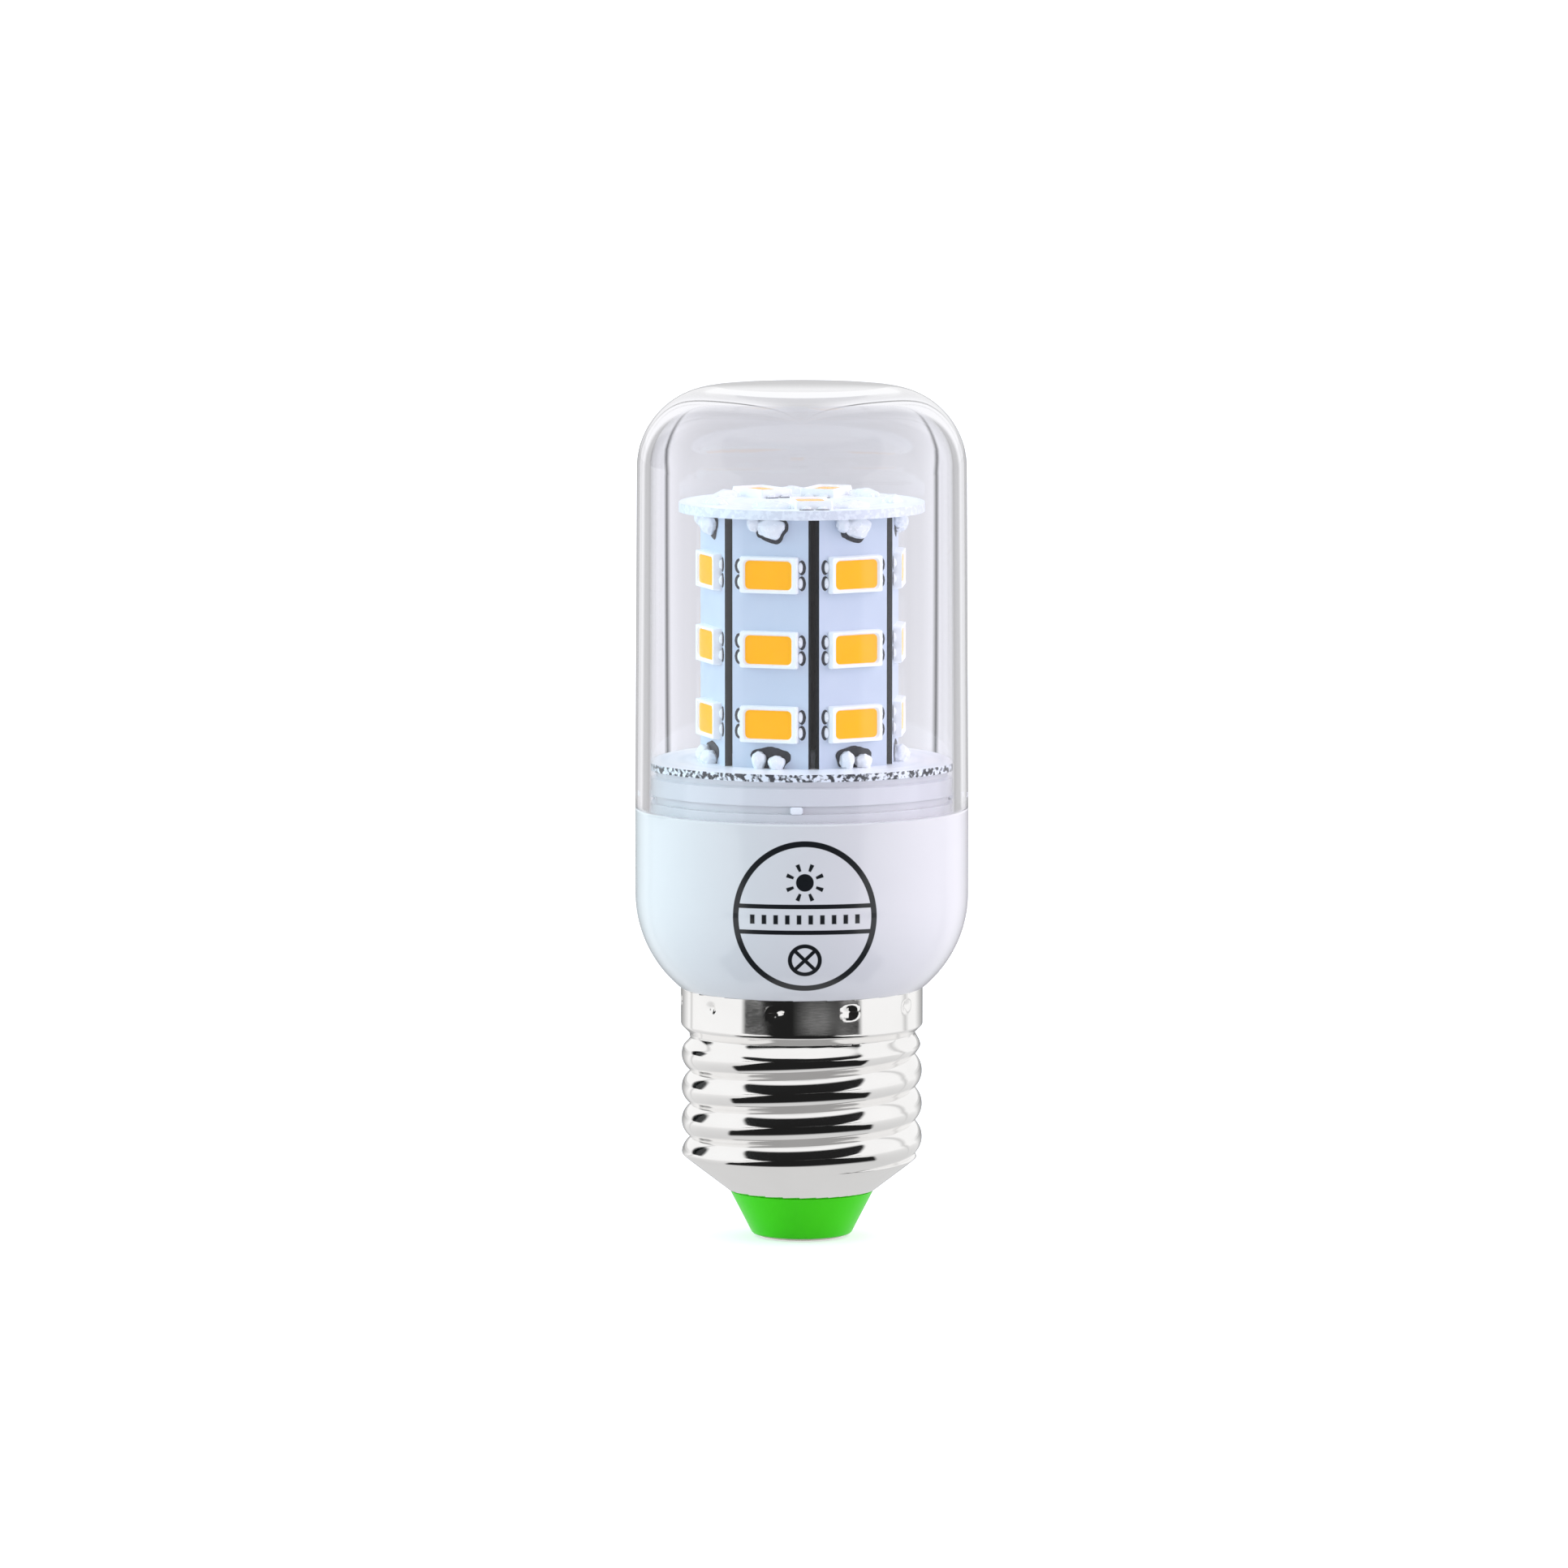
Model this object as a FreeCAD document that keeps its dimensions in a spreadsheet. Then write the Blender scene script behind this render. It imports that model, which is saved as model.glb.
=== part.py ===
"""Corn LED bulb with an E27 screw cap, in millimetres.

+Z points up through the cover, the origin is the middle of the centre contact's underside, and -Y is the front.
"""

import FreeCAD, Part
import math
import os
import re

import Sketcher

V = FreeCAD.Vector
UP = V(0, 0, 1)
FULL_TURN = 360

# Counts that the design fixes

SIDE_BOARDS = 7
LEDS_PER_BOARD = 3
CRIMPS = 10
SNAP_LUGS = 4

# A rounded wall is turned as this many straight strips, which keeps the big revolved shapes light
STRIPS = 3

# Driving dimensions

SIZES = {
    # the cover and the housing are flush, so they share this radius
    "outer_radius": 18.05,
    # clear cover
    "cover_wall": 1.5,
    "cover_corner": 8.8,
    "cover_height": 45.6,
    # housing
    "housing_skirt": 9.4,
    "belly_height": 10.2,
    "belly_ledge": 0.1,
    "neck_gap": 0.1,
    "neck_wall": 1.73,
    "chamber_floor": 4.6,
    "spigot_height": 4.4,
    "spigot_wall": 1.55,
    "snap_lift": 0.9,
    "snap_height": 0.9,
    "snap_depth": 0.45,
    "snap_lug_width": 1.3,
    "snap_lug_turn": -92.0,
    # screw cap
    "cap_height": 22.2,
    "cap_sheet": 0.35,
    "lip_radius": 8.0,
    "cone_rise": 4.23,
    "thread_inset": 0.08,
    "thread_depth": 1.05,
    "thread_pitch": 3.629,
    "thread_land": 0.13,
    "crest_flat": 0.9,
    "thread_shoulder": 2.0,
    "crest_height": 14.55,
    "collar_radius": 13.13,
    "collar_height": 4.1,
    "flare_height": 0.9,
    "crimp_size": 1.2,
    "crimp_depth": 0.22,
    "crimp_drop": 1.4,
    "crimp_turn": -102.5,
    # insulator and centre contact
    "insulator_height": 4.9,
    "insulator_foot": 5.55,
    "insulator_plug": 2.2,
    "contact_radius": 4.6,
    "contact_sheet": 0.3,
    "rivet_radius": 1.2,
    "rivet_head_radius": 2.0,
    "rivet_head_height": 0.6,
    # circuit boards
    "base_board_sheet": 0.8,
    "top_board_radius": 13.3,
    "top_board_sheet": 1.0,
    "column_radius": 11.26,
    "column_turn": -83.5,
    "side_board_width": 8.5,
    "side_board_height": 27.0,
    "side_board_sheet": 0.8,
    "tab_width": 3.6,
    # LED packages
    "led_length": 6.4,
    "led_width": 4.0,
    "led_height": 0.9,
    "window_length": 5.4,
    "window_width": 3.2,
    "window_depth": 0.3,
    "phosphor_height": 0.2,
    "first_led_rise": 4.75,
    "last_led_drop": 6.15,
    "top_led_ring": 8.2,
    # solder joints
    "solder_width": 2.8,
    "top_solder_reach": 2.4,
    "top_solder_rise": 3.0,
    "base_solder_reach": 1.6,
    "base_solder_rise": 2.4,
    "mound_length": 3.8,
    "mound_width": 1.8,
    "mound_height": 0.8,
    # driver
    "driver_sheet": 1.0,
    "driver_drop": 13.0,
    "can_radius": 4.0,
    "can_height": 12.0,
    "dropper_length": 12.0,
    "dropper_width": 5.0,
    "dropper_height": 10.0,
    "rectifier_length": 4.8,
    "rectifier_width": 4.0,
    "rectifier_height": 2.4,
    "resistor_length": 6.4,
    "resistor_width": 3.2,
    "resistor_height": 0.6,
    "fuse_radius": 1.6,
    "fuse_length": 9.0,
    "wire_radius": 0.55,
    "pin_size": 0.64,
    "pin_length": 8.0,
    "lead_spacing": 8.0,
    # clearances
    "sliding_fit": 0.2,
    "close_fit": 0.05,
}

doc = FreeCAD.newDocument("corn_led_bulb")
dims = doc.addObject("Spreadsheet::Sheet", "dims")
for row, (name, size) in enumerate(SIZES.items(), start=1):
    dims.set(f"A{row}", name)
    dims.set(f"B{row}", str(size))
    dims.setAlias(f"B{row}", name)
doc.recompute()

# Heights and radii that follow from them, as expressions in the sheet's names

LIP_TOP = "(contact_sheet + insulator_height)"
CAP_TOP = f"({LIP_TOP} + cap_height)"
SEAM = f"({CAP_TOP} + belly_height + housing_skirt)"
SPIGOT_TOP = f"({SEAM} + spigot_height)"
DECK_TOP = f"({SPIGOT_TOP} + base_board_sheet)"
COLUMN_TOP = f"({DECK_TOP} + side_board_height)"
TOP_BOARD_TOP = f"({COLUMN_TOP} + top_board_sheet)"
COVER_TOP = f"({SEAM} + cover_height)"

THREAD_RADIUS = "(collar_radius - thread_inset)"
ROOT_RADIUS = f"({THREAD_RADIUS} - thread_depth)"
FLARE_TOP = f"({CAP_TOP} - collar_height)"
FLARE_BOTTOM = f"({FLARE_TOP} - flare_height)"
DRIVER_FOOT = f"({CAP_TOP} - driver_drop)"
SPIGOT_RADIUS = "(outer_radius - cover_wall - sliding_fit)"
CHAMBER_RADIUS = f"({SPIGOT_RADIUS} - spigot_wall)"
NECK_RADIUS = "(collar_radius - cap_sheet - close_fit)"
BORE_RADIUS = f"({NECK_RADIUS} - neck_wall)"
BELLY_RUN = "(outer_radius - collar_radius - belly_ledge)"
BELLY_RADIUS = f"((belly_height ^ 2 + {BELLY_RUN} ^ 2) / (2 * {BELLY_RUN}))"
COLUMN_FACE = f"(column_radius * cos(180 / {SIDE_BOARDS}))"
LED_PITCH = f"((side_board_height - first_led_rise - last_led_drop) / {LEDS_PER_BOARD - 1})"


def linked(text):
    """An expression in the sheet's names, as one that any object of the document can read."""
    return re.sub(r"[a-z_]+", lambda w: f"dims.{w[0]}" if w[0] in SIZES else w[0], text)


def value(text):
    """An expression's number."""
    return float(getattr(found := dims.evalExpression(linked(text)), "Value", found))


def bind(thing, **expressions):
    """Binds an object's properties to expressions in the sheet's names."""
    for name, text in expressions.items():
        thing.setExpression(name, linked(text))


# Construction helpers


def origin_part(body, role):
    """One of the body's own origin planes or axes."""
    return next(part for part in body.Origin.OriginFeatures if part.Role == role)


def new_body(name):
    body = doc.addObject("PartDesign::Body", name)
    body.Label = name
    return body


def outline(body, name, points, role="XZ_Plane"):
    """A closed sketch of straight edges. points holds each corner's two expressions."""
    sketch = body.newObject("Sketcher::SketchObject", name)
    sketch.AttachmentSupport = [(origin_part(body, role), "")]
    sketch.MapMode = "FlatFace"
    places = [V(value(across), value(up), 0) for across, up in points]
    after = places[1:] + places[:1]
    sketch.addGeometry([Part.LineSegment(a, b) for a, b in zip(places, after)], False)
    count = len(points)
    for i, (across, up) in enumerate(points):
        sketch.addConstraint(Sketcher.Constraint("Coincident", i, 2, (i + 1) % count, 1))
        for kind, text, place in (("DistanceX", across, places[i].x), ("DistanceY", up, places[i].y)):
            added = sketch.addConstraint(Sketcher.Constraint(kind, -1, 1, i, 1, place))
            sketch.renameConstraint(added, f"{kind}{i}")
            sketch.setExpression(f"Constraints.{kind}{i}", linked(text))
    return sketch


def circle(body, name, radius, centre=("0", "0"), role="XY_Plane"):
    """A sketch of one circle, its radius and centre given as expressions."""
    sketch = body.newObject("Sketcher::SketchObject", name)
    sketch.AttachmentSupport = [(origin_part(body, role), "")]
    sketch.MapMode = "FlatFace"
    middle = V(value(centre[0]), value(centre[1]), 0)
    sketch.addGeometry(Part.Circle(middle, UP, value(radius)), False)
    sizes = (("DistanceX", centre[0], (-1, 1, 0, 3)), ("DistanceY", centre[1], (-1, 1, 0, 3)), ("Radius", radius, (0,)))
    for kind, text, ends in sizes:
        added = sketch.addConstraint(Sketcher.Constraint(kind, *ends, value(text)))
        sketch.renameConstraint(added, kind)
        sketch.setExpression(f"Constraints.{kind}", linked(text))
    return sketch


def feature(body, kind, name, profile, **expressions):
    """A sketch-based feature of the body, with its sizes bound to the sheet."""
    made = body.newObject(f"PartDesign::{kind}", name)
    made.Profile = profile
    bind(made, **expressions)
    return made


def about_axis(body, kind, name, profile):
    """A full revolution or groove about the bulb's axis."""
    made = feature(body, kind, name, profile)
    made.ReferenceAxis = (origin_part(body, "Z_Axis"), [""])
    made.Angle = FULL_TURN
    return made


def helix(body, kind, name, profile, rise):
    """A right-hand helical ridge or groove about the bulb's axis, with the cap's pitch."""
    made = feature(body, kind, name, profile)
    made.ReferenceAxis = (origin_part(body, "Z_Axis"), [""])
    made.Mode = "pitch-height-angle"
    made.LeftHanded = False
    bind(made, Pitch="thread_pitch", Height=rise)
    return made


def around(body, name, original, count):
    """Repeats a feature evenly about the bulb's axis."""
    pattern = body.newObject("PartDesign::PolarPattern", name)
    pattern.Originals = [original]
    pattern.Axis = (origin_part(body, "Z_Axis"), [""])
    pattern.Angle = FULL_TURN
    pattern.Occurrences = count
    body.Tip = pattern
    return pattern


def arc(centre, radius, start, end):
    """Corners along a circular arc. centre and radius are expressions, and the angles are expressions in degrees."""
    spots = []
    for i in range(STRIPS + 1):
        angle = f"(({start}) * {STRIPS - i} / {STRIPS} + ({end}) * {i} / {STRIPS})"
        spots.append((f"{centre[0]} + {radius} * cos({angle})", f"{centre[1]} + {radius} * sin({angle})"))
    return spots


def upright(angle, distance, height):
    """A placement on the column: local Z points out of the axis at the angle, and local Y points up."""
    out = V(math.cos(math.radians(angle)), math.sin(math.radians(angle)), 0)
    turn = FreeCAD.Rotation(UP.cross(out), UP, out, "ZXY")
    return FreeCAD.Placement(out * distance + UP * height, turn)


def lying(angle, distance, height):
    """A placement on a round board: local X points out of the axis at the angle, and local Z points up."""
    turn = FreeCAD.Rotation(UP, angle)
    return FreeCAD.Placement(turn.multVec(V(distance, 0, 0)) + UP * height, turn)


def board_angle(number):
    """The direction that a side board faces. The first two stand left and right of the front corner."""
    return value("column_turn") + (number - 1.5) * FULL_TURN / SIDE_BOARDS


def box(name, length, width, height):
    """A box centred on its local X and Y, standing on local Z = 0. Its Label is its own name."""
    made = doc.addObject("PartDesign::Body", name)
    made.Label = name
    half = (f"{length} / 2", f"{width} / 2")
    corners = [(f"-{half[0]}", f"-{half[1]}"), (half[0], f"-{half[1]}"), half, (f"-{half[0]}", half[1])]
    feature(made, "Pad", f"{name}_pad", outline(made, f"{name}_outline", corners, "XY_Plane"), Length=height)
    return made


def group(name, members):
    """Several separate solids that share one node."""
    made = doc.addObject("Part::Compound", name)
    made.Label = name
    made.Links = members
    return made


# Screw cap, rolled from thin sheet: a cone, a rounded right-hand thread and a plain collar with crimp marks


def screw_shell():
    body = new_body("screw_shell")
    blank = [
        ("0", LIP_TOP),
        (ROOT_RADIUS, LIP_TOP),
        (ROOT_RADIUS, FLARE_BOTTOM),
        ("collar_radius", FLARE_TOP),
        ("collar_radius", CAP_TOP),
        ("0", CAP_TOP),
    ]
    about_axis(body, "Revolution", "cap_blank", outline(body, "blank_outline", blank))

    first_crest = "(crest_height - 3 * thread_pitch)"
    half_base = "(thread_pitch / 2 - thread_land / 2)"
    buried = f"({ROOT_RADIUS} - cap_sheet / 2)"
    half_ridge = [
        (buried, half_base),
        (ROOT_RADIUS, half_base),
        (f"({ROOT_RADIUS} + thread_depth / 2)", "thread_shoulder / 2"),
        (THREAD_RADIUS, "crest_flat / 2"),
    ]
    ridge = [(across, f"{first_crest} - {up}") for across, up in half_ridge]
    ridge += [(across, f"{first_crest} + {up}") for across, up in reversed(half_ridge)]
    rise = f"{CAP_TOP} - collar_height / 2 - {first_crest}"
    helix(body, "AdditiveHelix", "thread_ridge", outline(body, "ridge_outline", ridge), rise)

    # the cone trims the foot of the cap and the first turn of the thread, which so runs out into it
    cone_out = f"(lip_radius + ({ROOT_RADIUS} - lip_radius) * 1.5)"
    trim = [
        ("lip_radius", LIP_TOP),
        (cone_out, f"{LIP_TOP} + cone_rise * 1.5"),
        (cone_out, "0"),
        ("lip_radius", "0"),
    ]
    about_axis(body, "Groove", "foot_cone", outline(body, "cone_outline", trim))

    root_inside = f"({ROOT_RADIUS} - cap_sheet)"
    hollow = [
        ("0", "0"),
        ("lip_radius - cap_sheet", "0"),
        ("lip_radius - cap_sheet", LIP_TOP),
        (root_inside, f"{LIP_TOP} + cone_rise"),
        (root_inside, FLARE_TOP),
        ("collar_radius - cap_sheet", FLARE_TOP),
        ("collar_radius - cap_sheet", f"{CAP_TOP} + cap_sheet"),
        ("0", f"{CAP_TOP} + cap_sheet"),
    ]
    about_axis(body, "Groove", "cap_hollow", outline(body, "hollow_outline", hollow))

    # crimp marks: small square dents punched round the collar
    doc.recompute()
    punch = body.newObject("PartDesign::SubtractiveBox", "crimp")
    bind(punch, Length="crimp_size", Width="crimp_size", Height="crimp_depth * 2")
    dent = upright(value("crimp_turn"), value("collar_radius - crimp_depth"), value(f"{CAP_TOP} - crimp_drop"))
    half = value("crimp_size / 2")
    punch.Placement = dent.multiply(FreeCAD.Placement(V(-half, -half, 0), FreeCAD.Rotation()))
    doc.recompute()
    around(body, "crimps", punch, CRIMPS)
    return body


# Moulded insulator at the foot of the cap, and the contact riveted through it


def cap_insulator():
    body = new_body("cap_insulator")
    bore = "(rivet_radius + close_fit)"
    plug = "(lip_radius - cap_sheet - close_fit)"
    section = [
        (bore, "contact_sheet"),
        ("insulator_foot", "contact_sheet"),
        ("lip_radius - close_fit * 2", LIP_TOP),
        (plug, LIP_TOP),
        (plug, f"{LIP_TOP} + insulator_plug"),
        (bore, f"{LIP_TOP} + insulator_plug"),
    ]
    about_axis(body, "Revolution", "insulator_turned", outline(body, "insulator_outline", section))
    return body


def centre_contact():
    body = new_body("centre_contact")
    head_foot = f"{LIP_TOP} + insulator_plug"
    section = [
        ("0", "0"),
        ("contact_radius", "0"),
        ("contact_radius", "contact_sheet"),
        ("rivet_radius", "contact_sheet"),
        ("rivet_radius", head_foot),
        ("rivet_head_radius", head_foot),
        ("rivet_head_radius", f"{head_foot} + rivet_head_height"),
        ("0", f"{head_foot} + rivet_head_height"),
    ]
    about_axis(body, "Revolution", "contact_turned", outline(body, "contact_outline", section))
    return body


# Housing: a moulded cup with a neck in the cap and a grooved spigot in the cover


def housing():
    body = new_body("housing")
    centre = (f"(outer_radius - {BELLY_RADIUS})", f"{CAP_TOP} + belly_height")
    belly = arc(centre, BELLY_RADIUS, f"-asin(belly_height / {BELLY_RADIUS})", "0 deg")
    groove_floor = f"{SPIGOT_RADIUS} - snap_depth"
    section = [
        (BORE_RADIUS, f"{FLARE_TOP} + neck_gap"),
        (NECK_RADIUS, f"{FLARE_TOP} + neck_gap"),
        (NECK_RADIUS, CAP_TOP),
        *belly,
        ("outer_radius", SEAM),
        (SPIGOT_RADIUS, SEAM),
        (SPIGOT_RADIUS, f"{SEAM} + snap_lift"),
        (groove_floor, f"{SEAM} + snap_lift"),
        (groove_floor, f"{SEAM} + snap_lift + snap_height"),
        (SPIGOT_RADIUS, f"{SEAM} + snap_lift + snap_height"),
        (SPIGOT_RADIUS, SPIGOT_TOP),
        (CHAMBER_RADIUS, SPIGOT_TOP),
        (CHAMBER_RADIUS, f"{CAP_TOP} + chamber_floor"),
        (BORE_RADIUS, f"{CAP_TOP} + chamber_floor"),
    ]
    about_axis(body, "Revolution", "housing_turned", outline(body, "housing_outline", section))
    return body


# Clear cover: a moulded cup with a flat top, a rounded corner and four snap lugs


def clear_cover():
    body = new_body("clear_cover")
    corner = ("(outer_radius - cover_corner)", f"({COVER_TOP} - cover_corner)")
    section = [
        ("outer_radius", SEAM),
        *arc(corner, "cover_corner", "0", "90"),
        ("0", COVER_TOP),
        ("0", f"{COVER_TOP} - cover_wall"),
        *arc(corner, "(cover_corner - cover_wall)", "90", "0"),
        ("outer_radius - cover_wall", SEAM),
    ]
    about_axis(body, "Revolution", "cover_blown", outline(body, "cover_outline", section))
    doc.recompute()

    lug = body.newObject("PartDesign::AdditiveBox", "snap_lug")
    bind(
        lug,
        Length="sliding_fit + snap_depth + cover_wall / 2 - close_fit",
        Width="snap_lug_width",
        Height="snap_height - 2 * close_fit",
    )
    foot = lying(
        value("snap_lug_turn"),
        value(f"{SPIGOT_RADIUS} - snap_depth + close_fit"),
        value(f"{SEAM} + snap_lift + close_fit"),
    )
    lug.Placement = foot.multiply(FreeCAD.Placement(V(0, -value("snap_lug_width") / 2, 0), FreeCAD.Rotation()))
    doc.recompute()
    around(body, "snap_lugs", lug, SNAP_LUGS)
    return body


# Round boards, slotted for the tabs of the side boards


def slotted_board(name, radius, sheet, height):
    """A disc with one slot for each side board. Its local X points out through the first slot."""
    body = new_body(name)
    feature(body, "Pad", f"{name}_disc", circle(body, f"{name}_rim", radius), Length=sheet)
    inner = f"{COLUMN_FACE} - side_board_sheet - close_fit"
    outer = f"{COLUMN_FACE} + close_fit"
    half = "(tab_width / 2 + close_fit)"
    corners = [(inner, f"-{half}"), (outer, f"-{half}"), (outer, half), (inner, half)]
    doc.recompute()
    slot = feature(body, "Pocket", f"{name}_slot", outline(body, f"{name}_slot_outline", corners, "XY_Plane"))
    slot.Type = "ThroughAll"
    slot.Reversed = True
    doc.recompute()
    around(body, f"{name}_slots", slot, SIDE_BOARDS)
    body.Placement = lying(board_angle(1), 0, value(height))
    return body


def side_board(number):
    """An upright board with a tab at each end, drawn on its outer face and as thick as its sheet inwards."""
    body = new_body(f"side_board_{number}")
    half = "side_board_width / 2"
    tab = "tab_width / 2"
    foot = "base_board_sheet"
    head = "(side_board_height + top_board_sheet)"
    corners = [
        (f"-{tab}", f"-{foot}"),
        (tab, f"-{foot}"),
        (tab, "0"),
        (half, "0"),
        (half, "side_board_height"),
        (tab, "side_board_height"),
        (tab, head),
        (f"-{tab}", head),
        (f"-{tab}", "side_board_height"),
        (f"-{half}", "side_board_height"),
        (f"-{half}", "0"),
        (f"-{tab}", "0"),
    ]
    sketch = outline(body, f"side_board_{number}_outline", corners, "XY_Plane")
    feature(body, "Pad", f"side_board_{number}_pad", sketch, Length="side_board_sheet").Reversed = True
    body.Placement = upright(board_angle(number), value(COLUMN_FACE), value(DECK_TOP))
    return body


# LED packages: a white frame with a shallow window, and the yellow phosphor in it


def led_package(name, placement):
    body = box(name, "led_length", "led_width", "led_height")
    half = ("window_length / 2", "window_width / 2")
    corners = [(f"-{half[0]}", f"-{half[1]}"), (half[0], f"-{half[1]}"), half, (f"-{half[0]}", half[1])]
    doc.recompute()
    window = outline(body, f"{name}_window", corners, "XY_Plane")
    window.AttachmentOffset = FreeCAD.Placement(V(0, 0, value("led_height")), FreeCAD.Rotation())
    window.setExpression("AttachmentOffset.Base.z", linked("led_height"))
    feature(body, "Pocket", f"{name}_recess", window, Length="window_depth")
    body.Placement = placement
    return body


def phosphor(name, placements):
    """The fills of several windows, each lying on its window's floor."""
    fills = []
    for i, placement in enumerate(placements, start=1):
        fill = box(f"{name}_fill_{i}", "window_length", "window_width", "phosphor_height")
        floor = FreeCAD.Placement(V(0, 0, value("led_height - window_depth")), FreeCAD.Rotation())
        fill.Placement = placement.multiply(floor)
        fills.append(fill)
    return group(name, fills)


def light_column():
    nodes = []
    for number in range(1, SIDE_BOARDS + 1):
        nodes.append(side_board(number))
        seats = []
        for row in range(LEDS_PER_BOARD):
            height = value(f"{DECK_TOP} + first_led_rise + {LED_PITCH} * {row}")
            seats.append(upright(board_angle(number), value(COLUMN_FACE), height))
            nodes.append(led_package(f"led_{number}_{row + 1}", seats[-1]))
        nodes.append(phosphor(f"phosphor_{number}", seats))
    return nodes


def top_leds():
    """Two packages at the back of the top board and one at its front, each pointing out over a corner of the column."""
    across = SIDE_BOARDS // 2
    corners = [value("column_turn") + FULL_TURN * step / SIDE_BOARDS for step in (across + 1, across, 0)]
    seats = [lying(angle, value("top_led_ring"), value(TOP_BOARD_TOP)) for angle in corners]
    nodes = [led_package(f"led_top_{i}", seat) for i, seat in enumerate(seats, start=1)]
    return [*nodes, phosphor("phosphor_top", seats)]


# Solder joints between the side boards and the round boards


def fillet_of_solder(name, reach, rise, placement):
    """A wedge of solder in the corner between a side board, at local X = 0, and a round board, at local Y = 0."""
    body = new_body(name)
    corners = [("0", "0"), (reach, "0"), (f"{reach} * 0.6", f"{rise} * 0.4"), ("0", rise)]
    sketch = outline(body, f"{name}_outline", corners, "XZ_Plane")
    feature(body, "Pad", f"{name}_pad", sketch, Length="solder_width").Midplane = True
    body.Placement = placement
    return body


def solder_joints():
    upside_down = FreeCAD.Rotation(V(1, 0, 0), 180)
    tops, bases = [], []
    for number in range(1, SIDE_BOARDS + 1):
        under = lying(board_angle(number), value(COLUMN_FACE), value(COLUMN_TOP))
        under.Rotation = under.Rotation.multiply(upside_down)
        tops.append(fillet_of_solder(f"top_fillet_{number}", "top_solder_reach", "top_solder_rise", under))
        mound = box(f"top_mound_{number}", "mound_width", "mound_length", "mound_height")
        mound.Placement = lying(
            board_angle(number), value(f"{COLUMN_FACE} - side_board_sheet / 2"), value(TOP_BOARD_TOP)
        )
        tops.append(mound)
        foot = lying(board_angle(number), value(COLUMN_FACE), value(DECK_TOP))
        bases.append(fillet_of_solder(f"base_fillet_{number}", "base_solder_reach", "base_solder_rise", foot))
    return [group("solder_top", tops), group("solder_base", bases)]


# Driver in the housing, and the wires at both its ends


def rod(name, radius, length, placement):
    """A plain cylinder standing on local Z = 0."""
    made = doc.addObject("Part::Cylinder", name)
    made.Label = name
    bind(made, Radius=radius, Height=length)
    made.Placement = placement
    return made


def at(x, y, z, turn=None):
    """A placement from three expressions."""
    return FreeCAD.Placement(V(value(x), value(y), value(z)), turn or FreeCAD.Rotation())


def driver():
    board = box(
        "driver_board",
        f"(2 * (sqrt({BORE_RADIUS} ^ 2 - (driver_sheet / 2) ^ 2) - close_fit))",
        "driver_sheet",
        f"{SPIGOT_TOP} - {DRIVER_FOOT} - close_fit",
    )
    board.Placement = at("0", "0", DRIVER_FOOT)
    face = "driver_sheet / 2"
    floor = f"({CAP_TOP} + chamber_floor)"
    can_seat = at("-lead_spacing / 2", f"{face} + can_radius", floor)
    can = rod("smoothing_capacitor", "can_radius", "can_height", can_seat)
    dropper = box("dropper_capacitor", "dropper_length", "dropper_width", "dropper_height")
    dropper.Placement = at("0", f"-{face} - dropper_width / 2", floor)
    rectifier = box("bridge_rectifier", "rectifier_length", "rectifier_height", "rectifier_width")
    rectifier.Placement = at("0", f"-{face} - rectifier_height / 2", f"{floor} - rectifier_width * 2")
    bleeder = box("bleed_resistor", "resistor_length", "resistor_height", "resistor_width")
    bleeder.Placement = at("resistor_length", f"{face} + resistor_height / 2", floor)
    fuse = rod(
        "fuse_resistor",
        "fuse_radius",
        "fuse_length",
        at("-fuse_length / 2", f"{face} + fuse_radius", f"{floor} - fuse_radius * 2", FreeCAD.Rotation(V(0, 1, 0), 90)),
    )
    return [board, can, dropper, rectifier, bleeder, fuse]


def wires():
    """Two wires from the cap up to the driver board, and two pins from there to the base board."""
    rivet_top = f"({LIP_TOP} + insulator_plug + rivet_head_height)"
    live = rod("live_lead", "wire_radius", f"{DRIVER_FOOT} - {rivet_top}", at("0", "0", rivet_top))

    # the neutral wire stands on the bare inside of the cap's cone and is soldered to the board's face
    beside = "(driver_sheet / 2 + wire_radius)"
    across = f"(lip_radius + ({ROOT_RADIUS} - lip_radius) / 5)"
    reach = f"(sqrt({across} ^ 2 + {beside} ^ 2) + wire_radius)"
    slope = f"(cone_rise / ({ROOT_RADIUS} - lip_radius))"
    rest = f"({LIP_TOP} + ({reach} - lip_radius + cap_sheet) * {slope})"
    neutral = rod(
        "neutral_lead",
        "wire_radius",
        f"{DRIVER_FOOT} + rectifier_width - {rest}",
        at(f"-{across}", f"-{beside}", rest),
    )

    pins = []
    for name, side in (("led_pin_plus", "1"), ("led_pin_minus", "-1")):
        pin = box(name, "pin_size", "pin_size", "pin_length")
        pin.Placement = at(
            f"{side} * lead_spacing / 2", "-driver_sheet / 2 - pin_size / 2", f"{SPIGOT_TOP} - pin_length"
        )
        pins.append(pin)
    return [live, neutral, *pins]


nodes = [
    screw_shell(),
    cap_insulator(),
    centre_contact(),
    housing(),
    clear_cover(),
    slotted_board("base_board", SPIGOT_RADIUS, "base_board_sheet", SPIGOT_TOP),
    slotted_board("top_board", "top_board_radius", "top_board_sheet", COLUMN_TOP),
    *light_column(),
    *top_leds(),
    *solder_joints(),
    *driver(),
    *wires(),
]
doc.recompute()

for thing in doc.Objects:
    if {"Invalid", "Error"} & set(thing.State):
        raise RuntimeError(f"{thing.Label} failed: {thing.State}")
for node in nodes:
    if node.Shape.isNull() or not node.Shape.isValid():
        raise RuntimeError(f"{node.Label} has no valid shape")

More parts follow.
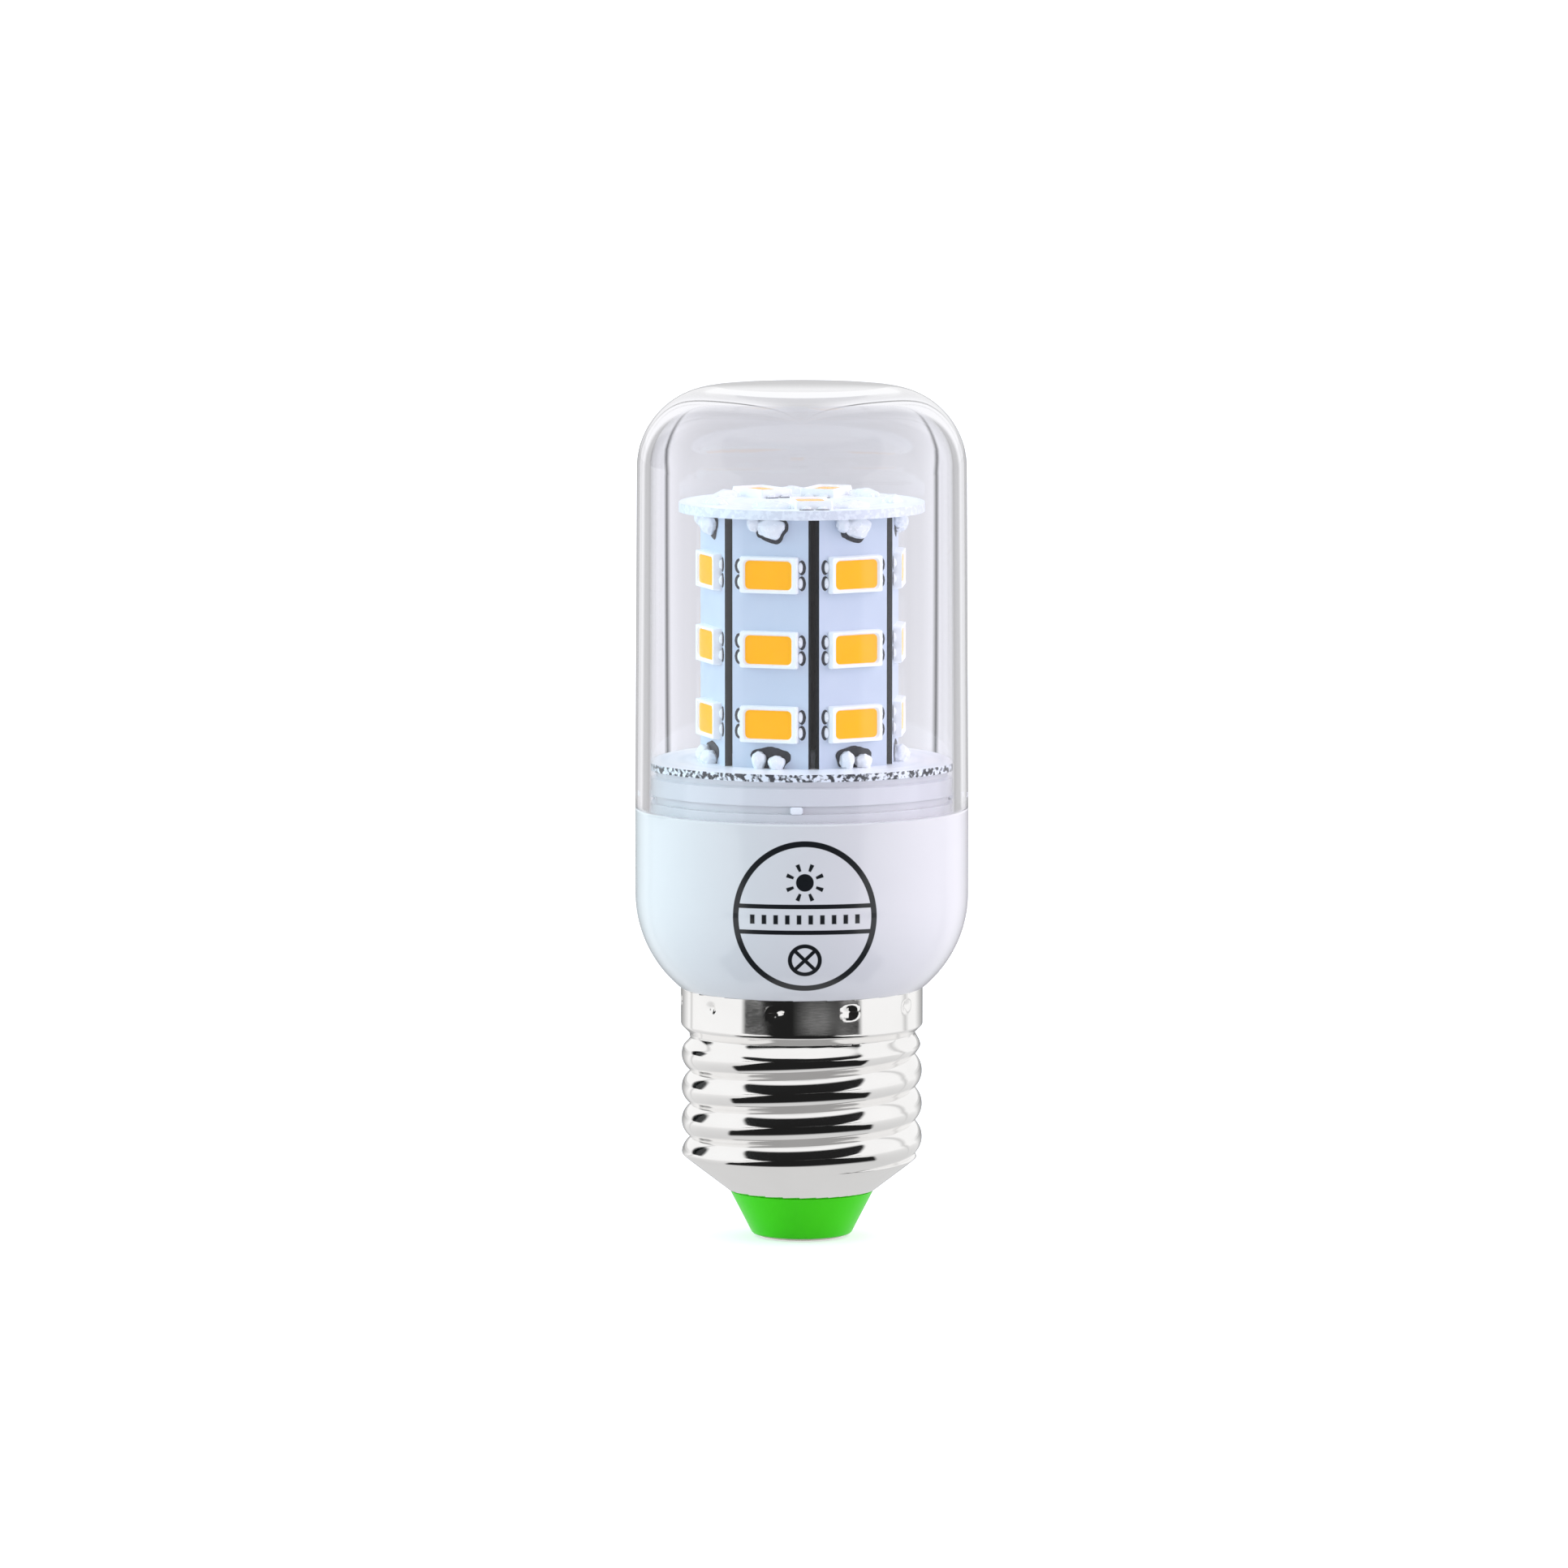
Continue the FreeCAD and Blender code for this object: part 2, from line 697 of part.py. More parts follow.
os.makedirs("parts", exist_ok=True)
for node in nodes:
    node.Shape.exportStep(f"parts/{node.Label}.step")
print(f"{len(nodes)} nodes written")
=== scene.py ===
"""Looks of the corn LED bulb: turned and rolled pieces, procedural finishes, a studio surround and the camera."""

import math

import bmesh
import bpy
from mathutils import Matrix, Vector


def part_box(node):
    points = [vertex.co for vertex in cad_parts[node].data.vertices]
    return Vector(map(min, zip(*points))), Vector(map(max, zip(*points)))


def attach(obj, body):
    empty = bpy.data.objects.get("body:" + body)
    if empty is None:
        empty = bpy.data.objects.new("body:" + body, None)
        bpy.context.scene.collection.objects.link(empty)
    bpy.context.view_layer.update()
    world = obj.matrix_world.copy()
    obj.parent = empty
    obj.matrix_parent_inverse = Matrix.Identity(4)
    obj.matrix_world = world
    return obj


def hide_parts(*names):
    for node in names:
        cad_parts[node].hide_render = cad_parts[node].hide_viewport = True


bl_info = {
    "name": "Corn LED Bulb",
    "version": (1, 0, 0),
    "blender": (4, 5, 0),
    "location": "View3D > Sidebar > Corn Bulb",
    "description": "Dresses the packed corn LED bulb and sets its studio",
    "category": "Object",
}

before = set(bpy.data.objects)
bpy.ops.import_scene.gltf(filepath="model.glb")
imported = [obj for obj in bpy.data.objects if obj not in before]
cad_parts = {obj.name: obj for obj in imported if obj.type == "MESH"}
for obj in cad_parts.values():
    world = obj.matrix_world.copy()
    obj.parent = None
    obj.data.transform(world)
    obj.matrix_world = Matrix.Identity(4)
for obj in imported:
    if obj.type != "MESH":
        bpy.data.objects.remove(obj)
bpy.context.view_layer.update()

# heights and radii that more than one piece shares, in metres
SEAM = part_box("clear_cover")[0].z
COVER_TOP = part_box("clear_cover")[1].z
CAP_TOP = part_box("screw_shell")[1].z
LIP_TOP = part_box("screw_shell")[0].z
SPIGOT_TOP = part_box("housing")[1].z
DECK_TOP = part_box("base_board")[1].z
COLUMN_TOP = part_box("top_board")[0].z
TOP_BOARD_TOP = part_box("top_board")[1].z
NECK_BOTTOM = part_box("housing")[0].z
SPIGOT_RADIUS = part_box("base_board")[1].x

SIDE_BOARDS = 7
ROWS = 3
VIEW_DROP = 0.131  # the sine of the angle at which the camera looks down at the cap


# Node trees


class Wire:
    """A node's output that takes part in Python expressions."""

    def __init__(self, nodes, socket):
        self.nodes = nodes
        self.socket = socket

    def math(self, operation, *others, clamp=False):
        return self.nodes.math(operation, self, *others, clamp=clamp)

    def __add__(self, other):
        return self.math("ADD", other)

    def __sub__(self, other):
        return self.math("SUBTRACT", other)

    def __rsub__(self, other):
        return self.nodes.math("SUBTRACT", other, self)

    def __mul__(self, other):
        return self.math("MULTIPLY", other)

    def __truediv__(self, other):
        return self.math("DIVIDE", other)

    def __rtruediv__(self, other):
        return self.nodes.math("DIVIDE", other, self)

    def __pow__(self, other):
        return self.math("POWER", other)

    def __abs__(self):
        return self.math("ABSOLUTE")

    __radd__ = __add__
    __rmul__ = __mul__

    def clamped(self):
        return self.math("ADD", 0.0, clamp=True)

    def ramp(self, slope):
        """0 below zero, then rising with the slope to 1."""
        return (self * slope).clamped()

    def strip(self, slope):
        """1 at zero, falling with the slope to 0 on both sides."""
        return (1.0 - abs(self) * slope).clamped()


class Nodes:
    """Builds one node tree, of a material, a world or a Geometry Nodes modifier."""

    def __init__(self, tree):
        self.tree = tree
        tree.nodes.clear()

    def node(self, kind, settings=None, inputs=None):
        """Adds any node. Its settings are set first, then the values or wires of its sockets."""
        made = self.tree.nodes.new(kind)
        for name, given in (settings or {}).items():
            setattr(made, name, given)
        for name, given in (inputs or {}).items():
            if isinstance(given, Wire):
                self.tree.links.new(given.socket, made.inputs[name])
            else:
                made.inputs[name].default_value = given
        return made

    def out(self, kind, settings=None, inputs=None, output=0):
        return Wire(self, self.node(kind, settings, inputs).outputs[output])

    def math(self, operation, *values, clamp=False):
        settings = {"operation": operation, "use_clamp": clamp}
        return self.out("ShaderNodeMath", settings, dict(enumerate(values)))

    def split(self, vector):
        parts = self.node("ShaderNodeSeparateXYZ", inputs={0: vector})
        return [Wire(self, socket) for socket in parts.outputs]

    def join(self, x, y, z):
        return self.out("ShaderNodeCombineXYZ", inputs={0: x, 1: y, 2: z})

    def place(self):
        """The point's place in the piece, which is its place in the bulb."""
        return self.out("ShaderNodeTexCoord", output="Object")

    def mix(self, amount, low, high):
        """A colour between two colours."""
        inputs = {0: amount, 6: low, 7: high}
        return self.out("ShaderNodeMix", {"data_type": "RGBA"}, inputs, output=2)

    def noise(self, place, scale, detail=3.0):
        inputs = {"Vector": place, "Scale": scale, "Detail": detail}
        return self.out("ShaderNodeTexNoise", inputs=inputs)

    def bump(self, height, strength, distance):
        inputs = {"Height": height, "Strength": strength, "Distance": distance}
        return self.out("ShaderNodeBump", inputs=inputs)

    def facing(self):
        """The surface's direction, in three parts."""
        return self.split(self.out("ShaderNodeTexCoord", output="Normal"))

    def path(self, *kinds):
        """What the Light Path node says of the ray."""
        made = self.node("ShaderNodeLightPath")
        return [Wire(self, made.outputs[kind]) for kind in kinds]

    def surface(self, shader):
        """Ends a material with a shader, given as its node."""
        self.node("ShaderNodeOutputMaterial", inputs={"Surface": Wire(self, shader.outputs[0])})


def rgb(red, green, blue):
    """A colour from its 0 to 255 screen values."""

    def linear(level):
        level /= 255
        return level / 12.92 if level <= 0.04045 else ((level + 0.055) / 1.055) ** 2.4

    return (linear(red), linear(green), linear(blue), 1.0)


def finish(name, build, **sockets):
    """A material of one Principled shader. build(nodes) returns the sockets that vary over the surface."""
    material = bpy.data.materials.new(name)
    material.use_nodes = True
    nodes = Nodes(material.node_tree)
    varying = build(nodes)
    nodes.surface(nodes.node("ShaderNodeBsdfPrincipled", inputs={**sockets, **varying}))
    return material


def mottled(low, high, scale, rough=(0.3, 0.4), relief=0.0):
    """The varying sockets of a finish whose colour and roughness drift a little between two values."""

    def build(nodes):
        place = nodes.place()
        drift = nodes.noise(place, scale)
        varying = {
            "Base Color": nodes.mix(drift, low, high),
            "Roughness": drift * (rough[1] - rough[0]) + rough[0],
        }
        if relief:
            varying["Normal"] = nodes.bump(nodes.noise(place, scale * 6), relief, 0.0001)
        return varying

    return build


def nickel_build(nodes):
    place = nodes.place()
    x, y, z = nodes.split(place)
    rolled = nodes.join(x * 0.15, y * 0.15, z)
    streaks = nodes.noise(rolled, 9000, detail=2)
    smudges = nodes.noise(place, 160, detail=4)
    return {
        "Base Color": nodes.mix(smudges, rgb(238, 237, 236), rgb(250, 249, 248)),
        "Roughness": smudges * 0.05 + streaks * 0.05 + 0.03,
        "Normal": nodes.bump(streaks, 0.015, 0.00002),
    }


def reach_of(x, y):
    """How far a point is from the middle."""
    return (x * x + y * y).math("SQRT")


def inked(distance, edge=0.00005):
    """1 where a signed distance is below zero, with a soft edge."""
    return distance.math("MULTIPLY_ADD", -1 / edge, 0.5, clamp=True)


def all_of(*masks):
    wire = masks[0]
    for mask in masks[1:]:
        wire = wire.math("MINIMUM", mask)
    return wire


def any_of(*masks):
    wire = masks[0]
    for mask in masks[1:]:
        wire = wire.math("MAXIMUM", mask)
    return wire


def housing_build(nodes, settings):
    """Glossy white plastic, with a printed ring, two bars and plain symbols on its front."""
    place = nodes.place()
    x, y, z = nodes.split(place)
    across = x - settings.print_shift
    up = z - settings.print_height
    stroke = settings.print_stroke / 2
    reach = reach_of(across, up / settings.print_oval)
    ring = abs(reach - settings.print_radius) - stroke
    inside = inked(reach - settings.print_radius)
    bar_high = abs(up - settings.print_bar_high) - stroke * 0.8
    bar_low = abs(up - settings.print_bar_low) - stroke * 0.8
    bars = all_of(inside, any_of(inked(bar_high), inked(bar_low)))

    # a small sun above the bars
    disc, ray_start, ray_end, ray_count, half_ray = 0.00095, 0.0013, 0.0021, 8, 0.14
    sun_up = up - settings.symbol_high
    sun_reach = reach_of(across, sun_up)
    spokes = (across.math("ARCTAN2", sun_up) * (ray_count / math.tau)).math("FRACT")
    ray = inked((abs(spokes - 0.5) - half_ray) * sun_reach, 0.00008)
    rays = all_of(ray, inked(sun_reach - ray_end), inked(ray_start - sun_reach))
    sun = any_of(inked(sun_reach - disc), rays)

    # a row of ticks between the bars
    tick_pitch, half_tick, tick_height, row_end = 0.00125, 0.2, 0.0005, 0.0061
    mid = up - (settings.print_bar_high + settings.print_bar_low) / 2
    tick = inked(abs((across / tick_pitch).math("FRACT") - 0.5) - half_tick, 0.08)
    ticks = all_of(tick, inked(abs(mid) - tick_height), inked(abs(across) - row_end))

    # a crossed circle below them
    circle_radius, circle_line, cross_line = 0.0016, 0.00022, 0.00028
    low_up = up - settings.symbol_low
    low_reach = reach_of(across, low_up)
    circle = inked(abs(low_reach - circle_radius) - circle_line)
    cross = any_of(inked(abs(across + low_up) - cross_line), inked(abs(across - low_up) - cross_line))
    lamp = any_of(circle, all_of(cross, inked(low_reach - circle_radius)))
    ink = all_of(any_of(inked(ring), bars, sun, ticks, lamp), inked(y))

    drift = nodes.noise(place, 90)
    white = nodes.mix(drift, rgb(*settings.white_low), rgb(*settings.white_high))
    return {
        "Base Color": nodes.mix(ink, white, rgb(20, 24, 30)),
        "Roughness": drift * 0.06 + ink * 0.2 + 0.16,
        "Normal": nodes.bump(nodes.noise(place, 2600, detail=2), 0.03, 0.00002),
    }


def board_build(nodes):
    """White solder mask on the outer face, and near-black painted shade on the edges and the back, for the shade
    inside the hollow column.
    """
    place = nodes.place()
    x, y, z = nodes.split(place)
    out_x, out_y, out_z = nodes.facing()
    outward = (x * out_x + y * out_y) / reach_of(x, y)
    # painted shade: faces that do not look outward get near-black, standing for the shade in the column and
    # between the boards
    outer = (outward - 0.75).ramp(12)
    drift = nodes.noise(place, 400)
    mask = nodes.mix(drift, rgb(198, 209, 226), rgb(208, 217, 231))
    return {
        "Base Color": nodes.mix(outer, rgb(22, 28, 32), mask),
        "Roughness": drift * 0.15 + 0.3,
        "Normal": nodes.bump(nodes.noise(place, 3000), 0.08, 0.00003),
    }


def disc_build(nodes, edge_colour):
    """White solder mask with faint rings of copper tracks under it, and an edge of edge_colour with pale specks:
    near-black painted shade on the base board for the shadowed gap under the deck, pale laminate on the top board.
    """
    place = nodes.place()
    x, y, z = nodes.split(place)
    track = inked(abs((reach_of(x, y) / 0.002).math("FRACT") - 0.5) - 0.2, 0.1)
    drift = nodes.noise(place, 300)
    mask = nodes.mix(drift, rgb(240, 244, 250), rgb(250, 252, 255))
    out_x, out_y, out_z = nodes.facing()
    side = (0.5 - abs(out_z)).ramp(12)
    specks = (nodes.noise(place, 1900, detail=2) - 0.45).ramp(9)
    edge = nodes.mix(specks, edge_colour, rgb(236, 240, 246))
    return {
        "Base Color": nodes.mix(side, nodes.mix(track * 0.12, mask, rgb(200, 214, 228)), edge),
        "Roughness": drift * 0.15 + 0.3,
        "Normal": nodes.bump(track, 0.1, 0.00003),
    }


def phosphor_build(nodes):
    """Yellow phosphor grains in resin, with faint clouds."""
    place = nodes.place()
    grains = nodes.noise(place, 5200, detail=4)
    clouds = nodes.noise(place, 500)
    shade = (grains * 0.5 + clouds * 0.5).clamped()
    return {
        "Base Color": nodes.mix(shade, rgb(255, 171, 0), rgb(255, 184, 2)),
        "Roughness": grains * 0.15 + 0.12,
        "Normal": nodes.bump(grains, 0.15, 0.00003),
    }


def solder_build(nodes):
    place = nodes.place()
    grain = nodes.noise(place, 1800, detail=3)
    return {
        "Base Color": nodes.mix(grain, rgb(240, 244, 250), rgb(253, 254, 255)),
        "Roughness": grain * 0.2 + 0.15,
        "Normal": nodes.bump(grain, 0.3, 0.0001),
    }


def clear_finish(settings):
    """Clear moulded plastic that bends what is seen through it.

    Soft light and shadows pass straight through it, and so does a ray that has met the plastic too often.
    """
    most_bounces = 5.5
    material = bpy.data.materials.new("clear_plastic")
    material.use_nodes = True
    nodes = Nodes(material.node_tree)
    drift = nodes.noise(nodes.place(), 60)
    glass = nodes.node(
        "ShaderNodeBsdfPrincipled",
        inputs={
            "Base Color": nodes.mix(drift, (*settings.tint, 1.0), (*settings.tint_light, 1.0)),
            "Roughness": drift * 0.01,
            "Transmission Weight": 1.0,
            "IOR": 1.46,
        },
    )
    shadow, diffuse, depth = nodes.path("Is Shadow Ray", "Is Diffuse Ray", "Ray Depth")
    factor = any_of(shadow, diffuse, (depth - most_bounces).clamped() * 2)
    straight = nodes.out("ShaderNodeBsdfTransparent", inputs={"Color": (0.99, 0.995, 1.0, 1.0)})
    shaders = {0: factor, 1: Wire(nodes, glass.outputs[0]), 2: straight}
    nodes.surface(nodes.node("ShaderNodeMixShader", inputs=shaders))
    return material


# Meshes


def add_piece(name, mesh, material, slot, *stands_for, smooth_below=math.radians(35)):
    """Puts a finished mesh in the scene as a piece that rides on the bulb and replaces CAD nodes."""
    piece = bpy.data.objects.new(name, mesh)
    bpy.context.scene.collection.objects.link(piece)
    mesh.materials.clear()
    mesh.materials.append(material)
    mesh.shade_smooth()
    mesh.set_sharp_from_angle(angle=smooth_below)
    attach(piece, "root")
    if stands_for:
        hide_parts(*stands_for)
    return piece


def turned(name, profile, steps=160, closed=True):
    """A mesh turned about the bulb's axis. profile holds (radius, height) points, anticlockwise in section."""
    made = bmesh.new()
    rings = []
    for radius, height in profile:
        if radius < 1e-7:
            rings.append([made.verts.new((0, 0, height))] * steps)
            continue
        angles = [math.tau * i / steps for i in range(steps)]
        rings.append([made.verts.new((radius * math.cos(a), radius * math.sin(a), height)) for a in angles])
    count = len(rings)
    for i in range(count if closed else count - 1):
        low, high = rings[i], rings[(i + 1) % count]
        for j in range(steps):
            k = (j + 1) % steps
            corners = list(dict.fromkeys([low[j], low[k], high[k], high[j]]))
            if len(corners) > 2:
                made.faces.new(corners)
    return meshed(name, made)


def meshed(name, made):
    """A mesh from a bmesh, with its normals outward."""
    bmesh.ops.recalc_face_normals(made, faces=made.faces[:])
    mesh = bpy.data.meshes.new(name)
    made.to_mesh(mesh)
    made.free()
    return mesh


def bend(centre, radius, start, end, steps):
    """Points along a round corner, from one angle to the other in degrees."""
    angles = [math.radians(start + (end - start) * i / steps) for i in range(steps + 1)]
    return [(centre[0] + radius * math.cos(a), centre[1] + radius * math.sin(a)) for a in angles]


def grown(name, tree_builder, values, seed=None):
    """The mesh that a Geometry Nodes tree makes from its named inputs, and from a seed mesh if given."""
    tree = bpy.data.node_groups.new(name, "GeometryNodeTree")
    tree.interface.new_socket("Geometry", in_out="INPUT", socket_type="NodeSocketGeometry")
    tree.interface.new_socket("Geometry", in_out="OUTPUT", socket_type="NodeSocketGeometry")
    kinds = {float: "NodeSocketFloat", int: "NodeSocketInt", bpy.types.Material: "NodeSocketMaterial"}
    for label, given in values.items():
        kind = next(kind for type_, kind in kinds.items() if isinstance(given, type_))
        tree.interface.new_socket(label, in_out="INPUT", socket_type=kind)
    nodes = Nodes(tree)
    group = nodes.node("NodeGroupInput")
    named = {label: Wire(nodes, group.outputs[label]) for label in ("Geometry", *values)}
    result = tree_builder(nodes, named)
    realized = nodes.out("GeometryNodeRealizeInstances", inputs={0: result})
    dressed = nodes.out("GeometryNodeSetMaterial", inputs={0: realized, "Material": named["Material"]})
    nodes.node("NodeGroupOutput", inputs={0: dressed})

    holder = bpy.data.objects.new(name, seed or bpy.data.meshes.new(f"{name}_seed"))
    bpy.context.scene.collection.objects.link(holder)
    modifier = holder.modifiers.new(name, "NODES")
    modifier.node_group = tree
    for item in tree.interface.items_tree:
        if item.in_out == "INPUT" and item.name in values:
            modifier[item.identifier] = values[item.name]
    view = bpy.context.evaluated_depsgraph_get()
    mesh = bpy.data.meshes.new_from_object(holder.evaluated_get(view), depsgraph=view)
    holder.modifiers.remove(modifier)
    bpy.data.objects.remove(holder)
    mesh.name = name
    return mesh


def rolled_cap(nodes, size):
    """A tube of thin sheet whose radius follows a cone, a round thread, a flare and a crimped collar."""
    # rows of the grid run along the thread, closer together in its roots, and stop at the rims
    grid = nodes.out(
        "GeometryNodeMeshGrid",
        inputs={
            "Size X": math.tau,
            "Size Y": size["Turns"],
            "Vertices X": size["Steps Round"],
            "Vertices Y": size["Turns"] * size["Rows Per Turn"] + 1.5,
        },
    )
    angle, row, flat = nodes.split(nodes.out("GeometryNodeInputPosition"))
    turn = row + size["Middle Turn"]
    turn = turn + (turn * math.tau).math("SINE") * size["Root Gather"] / math.tau
    z = (turn + angle / math.tau) * size["Pitch"] + size["Crest Height"]
    z = z.math("MAXIMUM", size["Foot"]).math("MINIMUM", size["Foot"] + size["Height"])

    # each crest is an arc, and the arcs meet in a narrow root
    arc = size["Crest Arc"]
    across = abs((turn + 0.5).math("FRACT") - 0.5) * 2
    fall = (arc * arc - 1.0).math("SQRT")
    wave = ((arc * arc - across * across).math("SQRT") - fall) / (arc - fall)
    wave = wave.math("SMOOTH_MAX", size["Root Floor"], 0.03)

    # the thread fades out under the collar, over half a turn
    fade = ((size["Flare Top"] - z) / size["Pitch"] * 2.2 - 0.4).clamped()
    thread = size["Root"] + size["Depth"] * wave * fade
    cone = size["Lip"] + (z - size["Foot"]) * size["Slope"]
    slant = size["Collar"] - (size["Flare Top"] - z) * size["Flare Slope"]
    flare = nodes.math("SMOOTH_MIN", size["Collar"], slant, 0.0002)
    body = nodes.math("SMOOTH_MAX", thread, flare, 0.00006)
    radius = nodes.math("SMOOTH_MIN", body, cone, 0.0005)
    radius = nodes.math("MAXIMUM", radius, nodes.math("MINIMUM", cone, size["Lip"] + 0.0004))

    turn = (angle - size["Crimp Turn"]) / size["Crimp Step"]
    aside = (turn.math("FRACT") - 0.5) * size["Crimp Step"] * size["Collar"]
    above = z - size["Crimp Height"]
    away = reach_of(aside, above) / size["Crimp Radius"]
    dent = (1.0 - away).clamped()
    radius = radius - dent * dent * (3.0 - dent * 2.0) * size["Crimp Depth"]

    spot = nodes.join(angle.math("COSINE") * radius, angle.math("SINE") * radius, z)
    bent = nodes.out("GeometryNodeSetPosition", inputs={"Geometry": grid, "Position": spot})
    return nodes.out("GeometryNodeMergeByDistance", inputs={"Geometry": bent, "Distance": 0.000002})


def joined(nodes, *parts):
    made = nodes.node("GeometryNodeJoinGeometry")
    for part in parts:
        nodes.tree.links.new(part.socket, made.inputs[0])
    return Wire(nodes, made.outputs[0])


def copies(nodes, part, count, angle, radius, height, turn):
    """Copies of a part on points about the bulb's axis. The values may depend on the point's index."""
    points = nodes.out("GeometryNodePoints", inputs={"Count": count})
    spot = nodes.join(angle.math("COSINE") * radius, angle.math("SINE") * radius, height)
    placed = nodes.out("GeometryNodeSetPosition", inputs={"Geometry": points, "Position": spot})
    inputs = {"Points": placed, "Instance": part, "Rotation": turn}
    return nodes.out("GeometryNodeInstanceOnPoints", inputs=inputs)


def led_seats(nodes, size):
    """The seed, which faces +X with its long side along Y, on every seat of the side and top boards."""
    index = nodes.out("GeometryNodeInputIndex")
    board = (index / size["Rows"] + 0.001).math("FLOOR")
    row = index - board * size["Rows"]
    angle = size["First Board"] + board * size["Board Step"]
    height = size["First Height"] + row * size["Pitch"]
    count = size["Boards"] * size["Rows"]
    sides = copies(nodes, size["Geometry"], count, angle, size["Face"], height, nodes.join(0.0, 0.0, angle))
    corner = (index * 3.0).math("MINIMUM", index + 2.0)
    aim = size["First Board"] + (corner + 0.5) * size["Board Step"]
    tipped = nodes.join(0.0, -math.pi / 2, aim - math.pi / 2)
    tops = copies(nodes, size["Geometry"], 3, aim, size["Ring"], size["Above"], tipped)
    return joined(nodes, sides, tops)


def lumpy_drop(nodes, thick, width, height, centre, lumps):
    """A blob of solder on a board that faces +X, uneven where lumps is above zero."""
    ball = nodes.out("GeometryNodeMeshIcoSphere", inputs={"Radius": 0.5, "Subdivisions": 4})
    spot = nodes.out("GeometryNodeInputPosition")
    wobble = nodes.noise(spot, 2.6, detail=1) - 0.5
    swell = nodes.out("ShaderNodeVectorMath", {"operation": "SCALE"}, {0: spot, "Scale": wobble * lumps})
    uneven = nodes.out("GeometryNodeSetPosition", inputs={"Geometry": ball, "Offset": swell})
    return nodes.out(
        "GeometryNodeTransform",
        inputs={"Geometry": uneven, "Translation": centre, "Scale": (thick, width, height)},
    )


def on_boards(nodes, size, *placed):
    """Parts, each with its height, once on every side board."""
    angle = size["First Board"] + nodes.out("GeometryNodeInputIndex") * size["Board Step"]
    spin = nodes.join(0.0, 0.0, angle)
    return joined(
        nodes, *(copies(nodes, part, size["Boards"], angle, size["Face"], height, spin) for part, height in placed)
    )


def solder_blobs(nodes, size):
    """On each side board a blob under the top board, a mound over the upper tab and two blobs at the foot."""
    under = lumpy_drop(nodes, 0.0017, 0.0031, 0.0023, (0.0005, 0.0002, -0.0011), size["Lumps"])
    spur = lumpy_drop(nodes, 0.0016, 0.0013, 0.0017, (0.0006, -0.0017, -0.0007), size["Lumps"])
    over = lumpy_drop(nodes, 0.0022, 0.0042, 0.0017, (-0.0004, 0.0, 0.0), size["Lumps"])
    left = lumpy_drop(nodes, 0.0018, 0.0015, 0.0022, (0.0005, -0.0011, 0.0008), size["Lumps"])
    right = lumpy_drop(nodes, 0.0018, 0.0018, 0.0018, (0.0006, 0.0009, 0.0006), size["Lumps"])
    hanging = (joined(nodes, under, spur), size["Top"])
    feet = (joined(nodes, left, right), size["Deck"])
    blobs = on_boards(nodes, size, hanging, (over, size["Above"]), feet)
    return nodes.out("GeometryNodeSetShadeSmooth", inputs={0: blobs})


def painted_shade_rings(nodes, size):
    """Painted shade: a thin dark sheet round the blobs on each side board, for the dark outline seen round the
    shiny solder.
    """
    under = lumpy_drop(nodes, 0.00016, 0.0037, 0.0030, (0.00002, 0.0001, -0.0012), size["Lumps"])
    foot = lumpy_drop(nodes, 0.00016, 0.0044, 0.0027, (0.00002, 0.0, 0.0010), size["Lumps"])
    return on_boards(nodes, size, (under, size["Top"]), (foot, size["Deck"]))


def rounded(width, height, corner, steps=4):
    """The corners of a rounded rectangle about the origin, anticlockwise."""
    spots = []
    for turn, (x, y) in enumerate(((1, 1), (-1, 1), (-1, -1), (1, -1))):
        centre = (x * (width / 2 - corner), y * (height / 2 - corner))
        spots += bend(centre, corner, turn * 90, turn * 90 + 90, steps)
    return spots


def stacked(name, levels):
    """A mesh that faces +X, from outlines of like point counts, each with its distance out."""
    made = bmesh.new()
    rings = [[made.verts.new((out, across, up)) for across, up in outline] for outline, out in levels]
    for low, high in zip(rings, rings[1:]):
        for j in range(len(low)):
            k = (j + 1) % len(low)
            made.faces.new([low[j], low[k], high[k], high[j]])
    made.faces.new(rings[0])
    made.faces.new(rings[-1])
    return meshed(name, made)


# Sizes and colours that a user would change


class CoverSettings(bpy.types.PropertyGroup):
    radius: bpy.props.FloatProperty(
        name="Radius", description="Outer radius", default=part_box("clear_cover")[1].x, unit="LENGTH"
    )
    draft: bpy.props.FloatProperty(
        name="Draft", description="How much narrower the wall is at its top", default=0.00022, unit="LENGTH"
    )
    wall: bpy.props.FloatProperty(name="Wall", description="Wall thickness", default=0.0015, unit="LENGTH")
    corner: bpy.props.FloatProperty(
        name="Corner", description="Outer corner radius", default=0.0088, unit="LENGTH"
    )
    tint: bpy.props.FloatVectorProperty(
        name="Tint", description="The plastic's tint, darker", default=(0.955, 0.955, 1.0), subtype="COLOR"
    )
    tint_light: bpy.props.FloatVectorProperty(
        name="Tint, lighter", description="The plastic's tint, lighter",
        default=(0.965, 0.965, 1.0), subtype="COLOR",
    )


